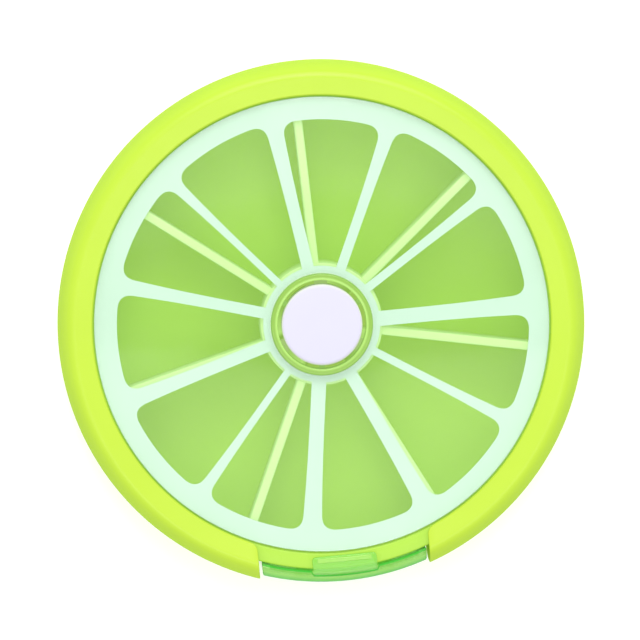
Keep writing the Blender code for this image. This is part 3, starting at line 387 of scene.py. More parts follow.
def rounded(points, radius, chosen):
    """A closed outline with some corners rounded."""
    result = []
    for index, point in enumerate(points):
        if index not in chosen:
            result.append(point)
            continue
        corner = Vector(point)
        before = Vector(points[index - 1]) - corner
        after = Vector(points[(index + 1) % len(points)]) - corner
        start = corner + before.normalized() * min(radius, before.length / 2.0)
        end = corner + after.normalized() * min(radius, after.length / 2.0)
        for step in range(EDGE_STEPS + 1):
            share = step / EDGE_STEPS
            first = start.lerp(corner, share)
            second = corner.lerp(end, share)
            result.append(tuple(first.lerp(second, share)))
    return result


def inset_outline(points, distance):
    """A closed outline moved inwards by a distance."""
    area = sum(
        points[index - 1][0] * point[1] - point[0] * points[index - 1][1]
        for index, point in enumerate(points)
    )
    side = math.copysign(1.0, area)
    result = []
    for index, point in enumerate(points):
        place = Vector(point)
        before = (place - Vector(points[index - 1])).normalized()
        after = (Vector(points[(index + 1) % len(points)]) - place).normalized()
        first = Vector((-before.y, before.x)) * side
        second = Vector((-after.y, after.x)) * side
        halfway = first + second
        reach = max(0.5, halfway.length_squared / 2.0)
        result.append(tuple(place + halfway * (distance / reach)))
    return result


# Meshes


def mesh_from(name, vertices, faces):
    """A mesh with its faces turned outwards."""
    bm = bmesh.new()
    made = [bm.verts.new(vertex) for vertex in vertices]
    for face in faces:
        bm.faces.new([made[index] for index in face])
    bmesh.ops.remove_doubles(bm, verts=bm.verts, dist=MERGE_DISTANCE)
    loose = [edge for edge in bm.edges if not edge.link_faces]
    bmesh.ops.delete(bm, geom=loose, context="EDGES")
    bmesh.ops.recalc_face_normals(bm, faces=bm.faces)
    mesh = bpy.data.meshes.new(name)
    bm.to_mesh(mesh)
    bm.free()
    return mesh


def lathe_mesh(name, profile, steps=RING_STEPS):
    """A closed profile turned all the way round."""
    vertices = []
    faces = []
    count = len(profile)
    for step in range(steps):
        angle = FRONT + 2.0 * math.pi * step / steps
        vertices += [(*polar(radius, angle), height) for radius, height in profile]
        following = (step + 1) % steps
        for index in range(count):
            beside = (index + 1) % count
            faces.append(
                (
                    step * count + index,
                    step * count + beside,
                    following * count + beside,
                    following * count + index,
                )
            )
    return mesh_from(name, vertices, faces)


def corner_width(radius, inner_radius, corner):
    """How far a cut end draws back near its inner radius to round that corner."""
    depth = min(1.0, max(0.0, (inner_radius + corner - radius) / corner)) if corner else 0.0
    return corner * (1.0 - math.sqrt(1.0 - depth**2))


def sector_mesh(name, profile, half_width, front, steps, end_round, corner=0.0):
    """A profile turned between two upright planes left and right of the outlet, ends rounded.

    It lies in front of the middle, or else all the way round the back.
    """
    rows = []
    inwards = -1.0 if front else 1.0
    inner_radius = min(radius for radius, height in profile)
    for step in range(EDGE_STEPS + 1):
        turn = math.pi / 2.0 * step / EDGE_STEPS
        outline = inset_outline(profile, end_round * (1.0 - math.sin(turn)))
        width = half_width + inwards * end_round * (1.0 - math.cos(turn))
        rows.append([])
        for radius, height in outline:
            drawn_back = inwards * corner_width(radius, inner_radius, corner)
            rows[-1].append((radius, height, math.asin((width + drawn_back) / radius)))
    vertices = []
    for row in rows:
        for radius, height, spread in row:
            vertices.append((*polar(radius, FRONT - spread), height))
    for step in range(1, steps):
        for radius, height, spread in rows[-1]:
            start = FRONT - spread
            end = FRONT + spread if front else FRONT + spread - 2.0 * math.pi
            angle = start + (end - start) * step / steps
            vertices.append((*polar(radius, angle), height))
    for row in reversed(rows):
        for radius, height, spread in row:
            vertices.append((*polar(radius, FRONT + spread), height))
    count = len(profile)
    total = len(vertices) // count
    faces = [tuple(range(count)), tuple(range((total - 1) * count, total * count))]
    for row in range(total - 1):
        for index in range(count):
            beside = (index + 1) % count
            faces.append(
                (
                    row * count + index,
                    row * count + beside,
                    (row + 1) * count + beside,
                    (row + 1) * count + index,
                )
            )
    return mesh_from(name, vertices, faces)


def box_mesh(name, low, high):
    """A box between two corners."""
    corners = [(x, y, z) for x in (low[0], high[0]) for y in (low[1], high[1]) for z in (low[2], high[2])]
    faces = [(0, 1, 3, 2), (4, 6, 7, 5), (0, 4, 5, 1), (2, 3, 7, 6), (0, 2, 6, 4), (1, 5, 7, 3)]
    return mesh_from(name, corners, faces)


def rounded_mesh(mesh, radius, axis=""):
    """Round the sharp edges of a mesh, or only those that run along an axis."""
    bm = bmesh.new()
    bm.from_mesh(mesh)
    chosen = []
    for edge in bm.edges:
        run = (edge.verts[1].co - edge.verts[0].co).normalized()
        along = not axis or abs(run["XYZ".index(axis)]) > math.cos(SHARP_ANGLE)
        if along and edge.calc_face_angle(0.0) > SHARP_ANGLE:
            chosen.append(edge)
    bmesh.ops.bevel(
        bm, geom=chosen, offset=radius, segments=EDGE_STEPS, profile=0.5, affect="EDGES"
    )
    bm.to_mesh(mesh)
    bm.free()
    return mesh


def sheet_mesh(name, outlines, low, high):
    """A flat sheet with holes, from a list of closed outlines."""
    bm = bmesh.new()
    edges = []
    for outline in outlines:
        verts = [bm.verts.new((*point, low)) for point in outline]
        edges += [bm.edges.new((verts[index - 1], verts[index])) for index in range(len(verts))]
    bmesh.ops.triangle_fill(bm, use_beauty=True, use_dissolve=False, edges=edges)
    grown = bmesh.ops.extrude_face_region(bm, geom=bm.faces[:])
    raised = [item for item in grown["geom"] if isinstance(item, bmesh.types.BMVert)]
    bmesh.ops.translate(bm, verts=raised, vec=(0, 0, high - low))
    bmesh.ops.recalc_face_normals(bm, faces=bm.faces)
    mesh = bpy.data.meshes.new(name)
    bm.to_mesh(mesh)
    bm.free()
    return mesh


def cylinder_mesh(name, radius, low, high):
    """A round bar between two places."""
    start = Vector(low)
    run = Vector(high) - start
    bm = bmesh.new()
    bmesh.ops.create_cone(
        bm,
        cap_ends=True,
        segments=OUTLINE_STEPS * 2,
        radius1=radius,
        radius2=radius,
        depth=run.length,
    )
    turn = run.to_track_quat("Z", "Y").to_matrix().to_4x4()
    bmesh.ops.transform(bm, matrix=Matrix.Translation(start + run / 2.0) @ turn, verts=bm.verts)
    mesh = bpy.data.meshes.new(name)
    bm.to_mesh(mesh)
    bm.free()
    return mesh


def merged(name, meshes):
    """Several meshes as one."""
    bm = bmesh.new()
    for mesh in meshes:
        bm.from_mesh(mesh)
        bpy.data.meshes.remove(mesh)
    mesh = bpy.data.meshes.new(name)
    bm.to_mesh(mesh)
    bm.free()
    return mesh


def turned_copies(mesh, angles):
    """Copies of a mesh turned about the upright axis."""
    copies = []
    for angle in angles:
        copy = mesh.copy()
        copy.transform(Matrix.Rotation(angle, 4, "Z"))
        copies.append(copy)
    bpy.data.meshes.remove(mesh)
    return copies


def combine(item, mesh, operation):
    """Add a mesh to a piece, or cut it out, and keep the result."""
    tool = bpy.data.objects.new(mesh.name, mesh)
    bpy.context.scene.collection.objects.link(tool)
    modifier = item.modifiers.new(operation, "BOOLEAN")
    modifier.operation = operation
    modifier.solver = "EXACT"
    modifier.object = tool
    graph = bpy.context.evaluated_depsgraph_get()
    result = bpy.data.meshes.new_from_object(item.evaluated_get(graph))
    item.modifiers.clear()
    item.data = result
    bpy.data.objects.remove(tool)


def add_piece(name, mesh, body, replaced, material):
    """A visible piece that stands for a CAD node; without a body, it is left unattached."""
    item = bpy.data.objects.new(name, mesh)
    bpy.context.scene.collection.objects.link(item)
    mesh.materials.clear()
    mesh.materials.append(material)
    if body:
        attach(item, body)
    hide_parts(replaced)
    return item


def smooth(item):
    """Smooth shading that keeps sharp edges."""
    item.data.shade_smooth()
    item.data.set_sharp_from_angle(angle=SHARP_ANGLE)


# Materials


def new_material(name):
    """A node material, its node tree and its Principled BSDF."""
    material = bpy.data.materials.new(name)
    material.use_nodes = True
    return material, material.node_tree, material.node_tree.nodes["Principled BSDF"]


def noise(tree, size, detail):
    """Noise in the object's own space, with features of a size in metres."""
    place = tree.nodes.new("ShaderNodeTexCoord")
    texture = tree.nodes.new("ShaderNodeTexNoise")
    texture.inputs["Scale"].default_value = 1.0 / size
    texture.inputs["Detail"].default_value = detail
    tree.links.new(place.outputs["Object"], texture.inputs["Vector"])
    return texture.outputs["Fac"]


def spread_value(tree, value, start, end, low, high):
    """A value between start and end, spread from low to high."""
    spread = tree.nodes.new("ShaderNodeMapRange")
    spread.inputs["From Min"].default_value = start
    spread.inputs["From Max"].default_value = end
    spread.inputs["To Min"].default_value = low
    spread.inputs["To Max"].default_value = high
    tree.links.new(value, spread.inputs["Value"])
    return spread.outputs["Result"]


def maths(tree, operation, *values):
    """What one operation makes of one or two values."""
    node = tree.nodes.new("ShaderNodeMath")
    node.operation = operation
    for index, value in enumerate(values):
        tree.links.new(value, node.inputs[index])
    return node.outputs["Value"]


def mixed_colour(tree, value, first, second):
    """A colour between two, by a value; either may come from another node."""
    mix = tree.nodes.new("ShaderNodeMix")
    mix.data_type = "RGBA"
    for socket, colour in (("A", first), ("B", second)):
        if isinstance(colour, tuple):
            mix.inputs[socket].default_value = (*colour, 1.0)
        else:
            tree.links.new(colour, mix.inputs[socket])
    tree.links.new(value, mix.inputs["Factor"])
    return mix.outputs["Result"]


def shade(colour, share):
    """A colour made darker or lighter by a share."""
    return tuple(min(1.0, channel * share) for channel in colour)


def mottled(tree, colour):
    """A colour with faint flow marks."""
    marks = noise(tree, MOTTLE_SIZE, MOTTLE_DETAIL)
    mottle = spread_value(tree, marks, NOISE_LOW, NOISE_HIGH, 0.0, 1.0)
    return mixed_colour(tree, mottle, shade(colour, 1.0 - MOTTLE_SHARE), colour)


def uneven_gloss(tree, shader, roughness):
    """Gloss that changes a little from patch to patch."""
    patches = noise(tree, PATCH_SIZE, GRAIN_DETAIL)
    roughest = roughness + ROUGHNESS_SPREAD
    gloss = spread_value(tree, patches, NOISE_LOW, NOISE_HIGH, roughness, roughest)
    tree.links.new(gloss, shader.inputs["Roughness"])


def add_bump(tree, shader, value, depth):
    """Raise the surface by a value, to a depth in metres."""
    bump = tree.nodes.new("ShaderNodeBump")
    bump.inputs["Distance"].default_value = depth
    bump.inputs["Strength"].default_value = 1.0
    tree.links.new(value, bump.inputs["Height"])
    tree.links.new(bump.outputs["Normal"], shader.inputs["Normal"])


def height_output(tree, place_name):
    """Height from one of the texture places."""
    place = tree.nodes.new("ShaderNodeTexCoord")
    parts = tree.nodes.new("ShaderNodeSeparateXYZ")
    tree.links.new(place.outputs[place_name], parts.inputs["Vector"])
    return parts.outputs["Z"]


def object_height(tree):
    """Height in the piece's own space."""
    return height_output(tree, "Object")


def height_share(tree):
    """Height as a share of the piece's whole height."""
    return height_output(tree, "Generated")


def object_radius(tree):
    """Distance from the upright axis in the piece's own space."""
    place = tree.nodes.new("ShaderNodeTexCoord")
    flat = tree.nodes.new("ShaderNodeVectorMath")
    flat.operation = "MULTIPLY"
    flat.inputs[1].default_value = (1.0, 1.0, 0.0)
    length = tree.nodes.new("ShaderNodeVectorMath")
    length.operation = "LENGTH"
    tree.links.new(place.outputs["Object"], flat.inputs[0])
    tree.links.new(flat.outputs["Vector"], length.inputs[0])
    return length.outputs["Value"]


def finish_plastic(tree, shader, colour, roughness, gloss_level, glow_share):
    """Give a plastic its colour, uneven gloss, orange peel and a painted glow in its own colour."""
    for socket in ("Base Color", "Emission Color"):
        tree.links.new(colour, shader.inputs[socket])
    uneven_gloss(tree, shader, roughness)
    add_bump(tree, shader, noise(tree, PEEL_SIZE, PEEL_DETAIL), PEEL_DEPTH)
    shader.inputs["Specular IOR Level"].default_value = gloss_level
    shader.inputs["Emission Strength"].default_value = glow_share


def moulded_plastic(name, colour, roughness, gloss_level=GLOSS_LEVEL, glow_share=0.0):
    """Moulded plastic of one colour."""
    material, tree, shader = new_material(name)
    finish_plastic(tree, shader, mottled(tree, colour), roughness, gloss_level, glow_share)
    return material


def graded_plastic(name, measure, limits, colours, glow_share, roughness):
    """Moulded plastic with painted shade: its colour changes between two heights or radii."""
    material, tree, shader = new_material(name)
    share = spread_value(tree, measure(tree), *limits, 0.0, 1.0)
    colour = mixed_colour(tree, share, mottled(tree, colours[0]), mottled(tree, colours[1]))
    finish_plastic(tree, shader, colour, roughness, 0.0, glow_share)
    reflecting(tree, shader.outputs["BSDF"], roughness, GLANCING_GLOSS)
    return material


def button_plastic(name):
    """White, with painted light on its rim, and painted green light and glow below where it sits in the
    hub.
    """
    material, tree, shader = new_material(name)
    rim = spread_value(
        tree, object_radius(tree), BUTTON_RADIUS - GAP, BUTTON_RADIUS - GAP / 3.0, 0.0, 1.0
    )
    height = spread_value(tree, object_height(tree), HOOK_TOP, WINDOW_BOTTOM, 0.0, 1.0)
    # Painted light on the rim, then painted green light on the lower part
    colour = mixed_colour(tree, rim, mottled(tree, WHITE), BUTTON_RIM_LIGHT)
    colour = mixed_colour(tree, height, mottled(tree, BUTTON_LOW_GREEN_LIGHT), colour)
    finish_plastic(tree, shader, colour, INNER_ROUGHNESS, 0.0, 0.0)
    # Painted glow on the lower part, fading out towards the top
    glow = spread_value(tree, height, 0.0, 1.0, INNER_GLOW_SHARE, 0.0)
    tree.links.new(glow, shader.inputs["Emission Strength"])
    reflecting(tree, shader.outputs["BSDF"], INNER_ROUGHNESS, GLANCING_GLOSS)
    return material


def reflecting(tree, surface, roughness, glancing_share):
    """Lay a gloss coat over another surface, stronger at glancing angles."""
    gloss = tree.nodes.new("ShaderNodeBsdfGlossy")
    uneven_gloss(tree, gloss, roughness)
    fresnel = tree.nodes.new("ShaderNodeFresnel")
    fresnel.inputs["IOR"].default_value = COAT_IOR
    share = spread_value(tree, fresnel.outputs["Fac"], FACING_GLOSS, 1.0, FACING_GLOSS, glancing_share)
    mix = tree.nodes.new("ShaderNodeMixShader")
    tree.links.new(share, mix.inputs["Fac"])
    tree.links.new(surface, mix.inputs[1])
    tree.links.new(gloss.outputs["BSDF"], mix.inputs[2])
    tree.links.new(mix.outputs["Shader"], tree.nodes["Material Output"].inputs["Surface"])


def see_through(tree, shader, share, tint):
    """Let tinted light through, with a share of the solid surface left."""
    passing = tree.nodes.new("ShaderNodeBsdfTransparent")
    passing.inputs["Color"].default_value = (*tint, 1.0)
    mix = tree.nodes.new("ShaderNodeMixShader")
    tree.links.new(share, mix.inputs["Fac"])
    tree.links.new(passing.outputs["BSDF"], mix.inputs[1])
    tree.links.new(shader.outputs["BSDF"], mix.inputs[2])
    return mix.outputs["Shader"]


def window_plastic(name):
    """Clear plastic, green where the collar and sleeve are seen end on, with a painted highlight at the
    collar's inner edge, painted shade at its outer edge and a painted glow.
    """
    material, tree, shader = new_material(name)
    radius = object_radius(tree)
    near = spread_value(
        tree, radius, COLLAR_OUTER_RADIUS, COLLAR_OUTER_RADIUS + WINDOW_ROUND, 1.0, 0.0
    )
    inner = spread_value(
        tree, radius, COLLAR_BORE_RADIUS, COLLAR_BORE_RADIUS + COLLAR_WIDTH / 2.0, 0.0, 1.0
    )
    outer = spread_value(
        tree, radius, SLEEVE_RADIUS, COLLAR_OUTER_RADIUS, 0.0, 1.0
    )
    # Painted highlight at the collar's inner edge, painted shade at its outer edge, and a painted glow
    sleeve = mixed_colour(tree, inner, SLEEVE_HIGHLIGHT, SLEEVE_GREEN)
    sleeve = mixed_colour(tree, outer, sleeve, SLEEVE_SHADE)
    colour = mixed_colour(tree, near, mottled(tree, HAZE), sleeve)
    glow = spread_value(tree, near, 0.0, 1.0, 0.0, SLEEVE_GLOW_SHARE)
    tree.links.new(colour, shader.inputs["Base Color"])
    tree.links.new(colour, shader.inputs["Emission Color"])
    tree.links.new(glow, shader.inputs["Emission Strength"])
    shader.inputs["Specular IOR Level"].default_value = 0.0
    share = spread_value(tree, near, 0.0, 1.0, WINDOW_SOLID_SHARE, COLLAR_SOLID_SHARE)
    surface = see_through(tree, shader, share, CLEAR_TINT)
    reflecting(tree, surface, WINDOW_COAT_ROUGHNESS, CLEAR_GLANCING_GLOSS)
    return material


def lid_gap_shade(tree):
    """Mask of the painted gap shade: where the lid's inner wall shows as a darker line that steps out
    below the tab.
    """
    place = tree.nodes.new("ShaderNodeTexCoord")
    parts = tree.nodes.new("ShaderNodeSeparateXYZ")
    tree.links.new(place.outputs["Object"], parts.inputs["Vector"])
    side = maths(tree, "ABSOLUTE", parts.outputs["X"])
    step = TAB_ROOT - RIND_INNER_RADIUS
    below_tab = spread_value(tree, side, TAB_HALF_WIDTH, TAB_HALF_WIDTH + GAP, step, 0.0)
    depth = maths(tree, "SUBTRACT", object_radius(tree), below_tab)
    far = RIND_INNER_RADIUS + LID_SHADE_LINE_WIDTH
    started = spread_value(tree, depth, RIND_INNER_RADIUS - GAP / 3.0, RIND_INNER_RADIUS, 0.0, 1.0)
    ended = spread_value(tree, depth, far, far + GAP / 3.0, 1.0, 0.0)
    return maths(tree, "MULTIPLY", started, ended)


def lid_plastic(name):
    """See-through green, fuller where the surface turns away from the eye, with painted shade along the
    inner edge, a painted highlight on the tab's ridge and a painted glow.
    """
    material, tree, shader = new_material(name)
    edge = tree.nodes.new("ShaderNodeLayerWeight")
    edge.inputs["Blend"].default_value = 0.5
    facing = edge.outputs["Facing"]
    turned = spread_value(tree, facing, LID_TURN_START, LID_TURN_END, 0.0, 1.0)
    line = lid_gap_shade(tree)
    # Painted shade of the gap along the lid's inner edge
    colour = mixed_colour(tree, line, mottled(tree, GREEN_SURFACE), GREEN_EDGE_AND_GAP_SHADE)
    # Painted highlight on the tab's ridge, above the tab's top
    ridge = spread_value(tree, object_height(tree), TAB_TOP, TAB_TOP + TAB_RIDGE_HEIGHT, 0.0, 1.0)
    colour = mixed_colour(tree, ridge, colour, RIDGE_HIGHLIGHT_GREEN)
    colour = mixed_colour(tree, turned, colour, GREEN_EDGE_AND_GAP_SHADE)
    finish_plastic(tree, shader, colour, LID_ROUGHNESS, 0.0, LID_GLOW_SHARE)
    solid = spread_value(
        tree, facing, 0.0, LID_TURN_END, LID_SOLID_SHARE, LID_EDGE_SOLID_SHARE
    )
    along_line = spread_value(tree, line, 0.0, 1.0, 0.0, LID_EDGE_SOLID_SHARE)
    share = maths(tree, "MAXIMUM", solid, along_line)
    surface = see_through(tree, shader, share, GREEN_TINT)
    reflecting(tree, surface, LID_COAT_ROUGHNESS, CLEAR_GLANCING_GLOSS)
    return material


def drawn_steel(name):
    """Wire and pin steel with fine drawing marks."""
    material, tree, shader = new_material(name)
    grain = noise(tree, GRAIN_SIZE, GRAIN_DETAIL)
    marks = spread_value(tree, grain, NOISE_LOW, NOISE_HIGH, 0.0, 1.0)
    colour = mixed_colour(tree, marks, shade(STEEL, STEEL_MARK_SHADE), STEEL)
    tree.links.new(colour, shader.inputs["Base Color"])
    uneven_gloss(tree, shader, STEEL_ROUGHNESS)
    shader.inputs["Metallic"].default_value = 1.0
    return material


# Pieces


def make_rind_ring(material):
    """Bulged C-shaped ring with rounded cut ends."""
    lip_bottom = FLANGE_TOP + GAP
    lip_top = lip_bottom + RIND_LIP_THICKNESS
    profile = bulge_points(RIND_FOOT + RIND_BOTTOM_RIM / 2.0, RIND_TOP, 0.0)
    profile.append((profile[-1][0] - RIND_LIP_THICKNESS / 2.0, RIND_FOOT))
    profile.append((RIND_INNER_RADIUS, RIND_FOOT))
    profile.append((RIND_INNER_RADIUS, lip_bottom))
    profile += run_points((RIND_INNER_RADIUS, lip_bottom), (RIND_LIP_RADIUS, lip_bottom))
    profile.append((RIND_LIP_RADIUS, lip_top - RIND_LIP_THICKNESS / 3.0))
    lip_edge = (RIND_LIP_RADIUS + RIND_LIP_THICKNESS / 3.0, lip_top)
    profile += [lip_edge] + run_points(lip_edge, profile[0])[:-1]
    mesh = sector_mesh(
        "rind",
        profile,
        RIND_FRONT_HALF_WIDTH,
        False,
        RING_STEPS,
        RIND_END_ROUND,
        RIND_END_CORNER,
    )
    smooth(add_piece("rind_ring_smooth", mesh, "case", "rind_ring", material))


def make_upper_case(material):
    """Wall and flange with the groove for the floor's bead, the outlet and the hinge's notch."""
    profile = [
        (CASE_RADIUS, FLANGE_TOP),
        (CASE_RADIUS, CASE_BOTTOM),
        (CASE_INNER_RADIUS, CASE_BOTTOM),
        (CASE_INNER_RADIUS + SNAP_DEPTH, CASE_BOTTOM + SNAP_GROOVE_HEIGHT / 2.0),
        (CASE_INNER_RADIUS, CASE_BOTTOM + SNAP_GROOVE_HEIGHT),
        (CASE_INNER_RADIUS, LEDGE_BOTTOM),
        (LEDGE_RADIUS, LEDGE_BOTTOM),
        (LEDGE_RADIUS, LEDGE_TOP),
        (FLANGE_BORE_RADIUS, LEDGE_TOP),
        (FLANGE_BORE_RADIUS, FLANGE_TOP),
    ]
    mesh = lathe_mesh("case", rounded(profile, FLANGE_ROUND, (0, 9)))
    case = add_piece("upper_case_smooth", mesh, "case", "upper_case", material)
    outlet = box_mesh(
        "outlet",
        (-OUTLET_HALF_WIDTH, -RIND_RADIUS, OUTLET_BOTTOM),
        (OUTLET_HALF_WIDTH, -HINGE_RADIUS / 2.0, OUTLET_TOP),
    )
    combine(case, rounded_mesh(outlet, OUTLET_CORNER, "Y"), "DIFFERENCE")
    notch = box_mesh(
        "notch",
        (-NOTCH_HALF_WIDTH, -RIND_RADIUS, -OVERRUN),
        (NOTCH_HALF_WIDTH, -HINGE_RADIUS / 2.0, NOTCH_TOP),
    )
    combine(case, notch, "DIFFERENCE")
    smooth(case)


def make_window(material):
    """Clear disc, collar and sleeve with its ribs."""
    collar_top = WINDOW_TOP + COLLAR_HEIGHT
    profile = [
        (COLLAR_OUTER_RADIUS, collar_top),
        (COLLAR_OUTER_RADIUS, WINDOW_TOP),
        (WINDOW_RADIUS, WINDOW_TOP),
        (WINDOW_RADIUS, WINDOW_BOTTOM),
        (SLEEVE_RADIUS, WINDOW_BOTTOM),
        (SLEEVE_RADIUS, SLEEVE_BOTTOM),
        (COLLAR_BORE_RADIUS, SLEEVE_BOTTOM),
        (COLLAR_BORE_RADIUS, collar_top),
    ]
    mesh = lathe_mesh("window", rounded(profile, WINDOW_ROUND, (0, 2, 3, 7)))
    window = add_piece("window_smooth", mesh, "case", "window", material)
    half = RIB_WIDTH / 2.0
    rib = box_mesh(
        "rib",
        (RIB_RADIUS, -half, SLEEVE_BOTTOM + GAP / 2.0),
        ((COLLAR_BORE_RADIUS + SLEEVE_RADIUS) / 2.0, half, RIB_TOP),
    )
    angles = [RIB_START + 2.0 * math.pi * index / RIBS for index in range(RIBS)]
    combine(window, merged("ribs", turned_copies(rib, angles)), "UNION")
    smooth(window)


def spoke_side(spoke_angle, sign, width, rim_radius):
    """Points up one side of a spoke, which flares towards the rim."""
    along = Vector(polar(1.0, spoke_angle))
    across = Vector((-along.y, along.x)) * sign
    points = []
    for index in range(OUTLINE_STEPS + 1):
        share = index / OUTLINE_STEPS
        radius = SEGMENT_INNER_RADIUS + (rim_radius - SEGMENT_INNER_RADIUS) * share
        half_width = (width + SPOKE_FLARE * share**SPOKE_FLARE_EXPONENT) / 2.0
        points.append(along * math.sqrt(radius**2 - half_width**2) + across * half_width)
    return points


def rim_corner(side, sign, rim_radius):
    """Rounded corner from the end of a spoke side onto the rim."""
    corner = side[-1]
    on_side = corner + (side[-2] - corner).normalized() * SEGMENT_CORNER
    angle = math.atan2(corner.y, corner.x) + sign * SEGMENT_CORNER / rim_radius
    on_rim = Vector(polar(rim_radius, angle))
    points = []
    for index in range(OUTLINE_STEPS + 1):
        share = index / OUTLINE_STEPS
        points.append(on_side.lerp(corner, share).lerp(corner.lerp(on_rim, share), share))
    return points


def segment_outline(first_angle, last_angle, first_width, last_width, rim_radius):
    """One slice segment: two spoke sides, a round rim with rounded corners and a round inner end."""
    first_side = spoke_side(first_angle, 1.0, first_width, rim_radius)
    last_side = spoke_side(last_angle, -1.0, last_width, rim_radius)
    first_corner = rim_corner(first_side, 1.0, rim_radius)
    last_corner = rim_corner(last_side, -1.0, rim_radius)
    limit = first_corner[0].length
    first_side = [point for point in first_side if point.length < limit]
    last_side = [point for point in last_side if point.length < limit]
    start = math.atan2(first_corner[-1].y, first_corner[-1].x)
    span = (math.atan2(last_corner[-1].y, last_corner[-1].x) - start) % (2.0 * math.pi)
    outline = first_side + first_corner
    outline += arc(rim_radius, start, start + span, OUTLINE_STEPS)[1:-1]
    outline += last_corner[::-1] + last_side[::-1]
    start = math.atan2(last_side[0].y, last_side[0].x)
    span = (start - math.atan2(first_side[0].y, first_side[0].x)) % (2.0 * math.pi)
    outline += arc(SEGMENT_INNER_RADIUS, start, start - span, EDGE_STEPS)[1:-1]
    return [(point[0], point[1]) for point in outline]


def make_slice_inlay(material):
    """Mint sheet with eleven segments cut out."""
    pitch = 2.0 * math.pi / SLICE_SEGMENTS
    outlines = [
        arc(INLAY_RADIUS, 0.0, 2.0 * math.pi, RING_STEPS)[:-1],
        arc(INLAY_BORE_RADIUS, 0.0, 2.0 * math.pi, RING_STEPS)[:-1],
    ]
    widths = [SPOKE_WIDTH * share for share in SPOKE_WIDTH_SHARES]
    for index, reach_share in enumerate(SEGMENT_REACH_SHARES):
        following = (index + 1) % SLICE_SEGMENTS
        first = pitch * index
        rim_radius = SEGMENT_OUTER_RADIUS * reach_share
        outlines.append(
            segment_outline(first, first + pitch, widths[index], widths[following], rim_radius)
        )
    mesh = sheet_mesh("slice", outlines, INLAY_BOTTOM, INLAY_TOP)
    smooth(add_piece("slice_inlay_smooth", mesh, "case", "slice_inlay", material))


def make_push_button(material):
    """Cap with a rounded rim, a slot for each rib and three hooks under the sleeve."""
    skirt_bore = BUTTON_RADIUS - BUTTON_WALL
    profile = [
        (0, BUTTON_TOP),
        (BUTTON_RADIUS, BUTTON_TOP),
        (BUTTON_RADIUS, BUTTON_BOTTOM),
        (skirt_bore, BUTTON_BOTTOM),
        (skirt_bore, BUTTON_TOP - BUTTON_WALL),
        (0, BUTTON_TOP - BUTTON_WALL),
    ]
    outline = arc(HOOK_RADIUS, 0.0, HOOK_ANGLE, EDGE_STEPS)
    outline += arc(BUTTON_RADIUS - BUTTON_WALL / 2.0, HOOK_ANGLE, 0.0, EDGE_STEPS)
    hook = sheet_mesh("hook", [outline], BUTTON_BOTTOM + GAP / 2.0, HOOK_TOP)
    angles = [HOOK_START + 2.0 * math.pi * index / HOOKS for index in range(HOOKS)]
    mesh = lathe_mesh("button", rounded(profile, BUTTON_EDGE, (1,)))
    button = add_piece("push_button_smooth", mesh, "button", "push_button", material)
    half = RIB_WIDTH / 2.0 + GAP
    groove = box_mesh(
        "groove",
        (RIB_RADIUS - GAP, -half, HOOK_TOP),
        (BUTTON_RADIUS + OVERRUN, half, GROOVE_TOP),
    )
    starts = [RIB_START + 2.0 * math.pi * index / RIBS for index in range(RIBS)]
    combine(button, merged("grooves", turned_copies(groove, starts)), "DIFFERENCE")
    combine(button, merged("hooks", turned_copies(hook, angles)), "UNION")
    smooth(button)


def make_compartment_tray(material):
    """Floor and hub, with seven walls with rounded tops."""
    profile = [
        (HUB_TOP_RADIUS, HUB_TOP),
        (HUB_FOOT_RADIUS, TRAY_FLOOR_TOP + HUB_FOOT_STEP),
        (HUB_FOOT_RADIUS + HUB_FOOT_STEP, TRAY_FLOOR_TOP + HUB_FOOT_STEP),
        (HUB_FOOT_RADIUS + HUB_FOOT_STEP, TRAY_FLOOR_TOP),
        (TRAY_RADIUS, TRAY_FLOOR_TOP),
        (TRAY_RADIUS, TRAY_FLOOR_BOTTOM),
        (HUB_BORE_RADIUS, TRAY_FLOOR_BOTTOM),
        (HUB_BORE_RADIUS, HUB_WEB_BOTTOM),
        (WEB_BORE_RADIUS, HUB_WEB_BOTTOM),
        (WEB_BORE_RADIUS, HUB_WEB_TOP),
        (HUB_BORE_RADIUS, HUB_WEB_TOP),
        (HUB_BORE_RADIUS, HUB_TOP),
    ]
    meshes = [lathe_mesh("tray", rounded(profile, HUB_ROUND, (0, 11)))]
    outline = [
        (HUB_MIDDLE_RADIUS, TRAY_FLOOR_BOTTOM + GAP),
        (TRAY_RADIUS - GAP, TRAY_FLOOR_BOTTOM + GAP),
        (TRAY_RADIUS - GAP, TRAY_WALL_TOP),
        (TRAY_STEP_RADIUS, TRAY_WALL_TOP),
        (TRAY_STEP_RADIUS, HUB_TOP - GAP),
        (HUB_MIDDLE_RADIUS, HUB_TOP - GAP),
    ]
    half = TRAY_WALL / 2.0
    wall = rounded_mesh(sheet_mesh("wall", [outline], -half, half), TRAY_WALL_ROUND)
    wall.transform(Matrix.Rotation(math.pi / 2.0, 4, "X"))
    pitch = 2.0 * math.pi / COMPARTMENTS
    start = FRONT + pitch / 2.0 + TRAY_WALL_LEAD
    meshes += turned_copies(wall, [start + pitch * index for index in range(COMPARTMENTS)])
    mesh = merged("tray", meshes)
    smooth(
        add_piece(
            "compartment_tray_smooth", mesh, "carousel", "compartment_tray", material
        )
    )


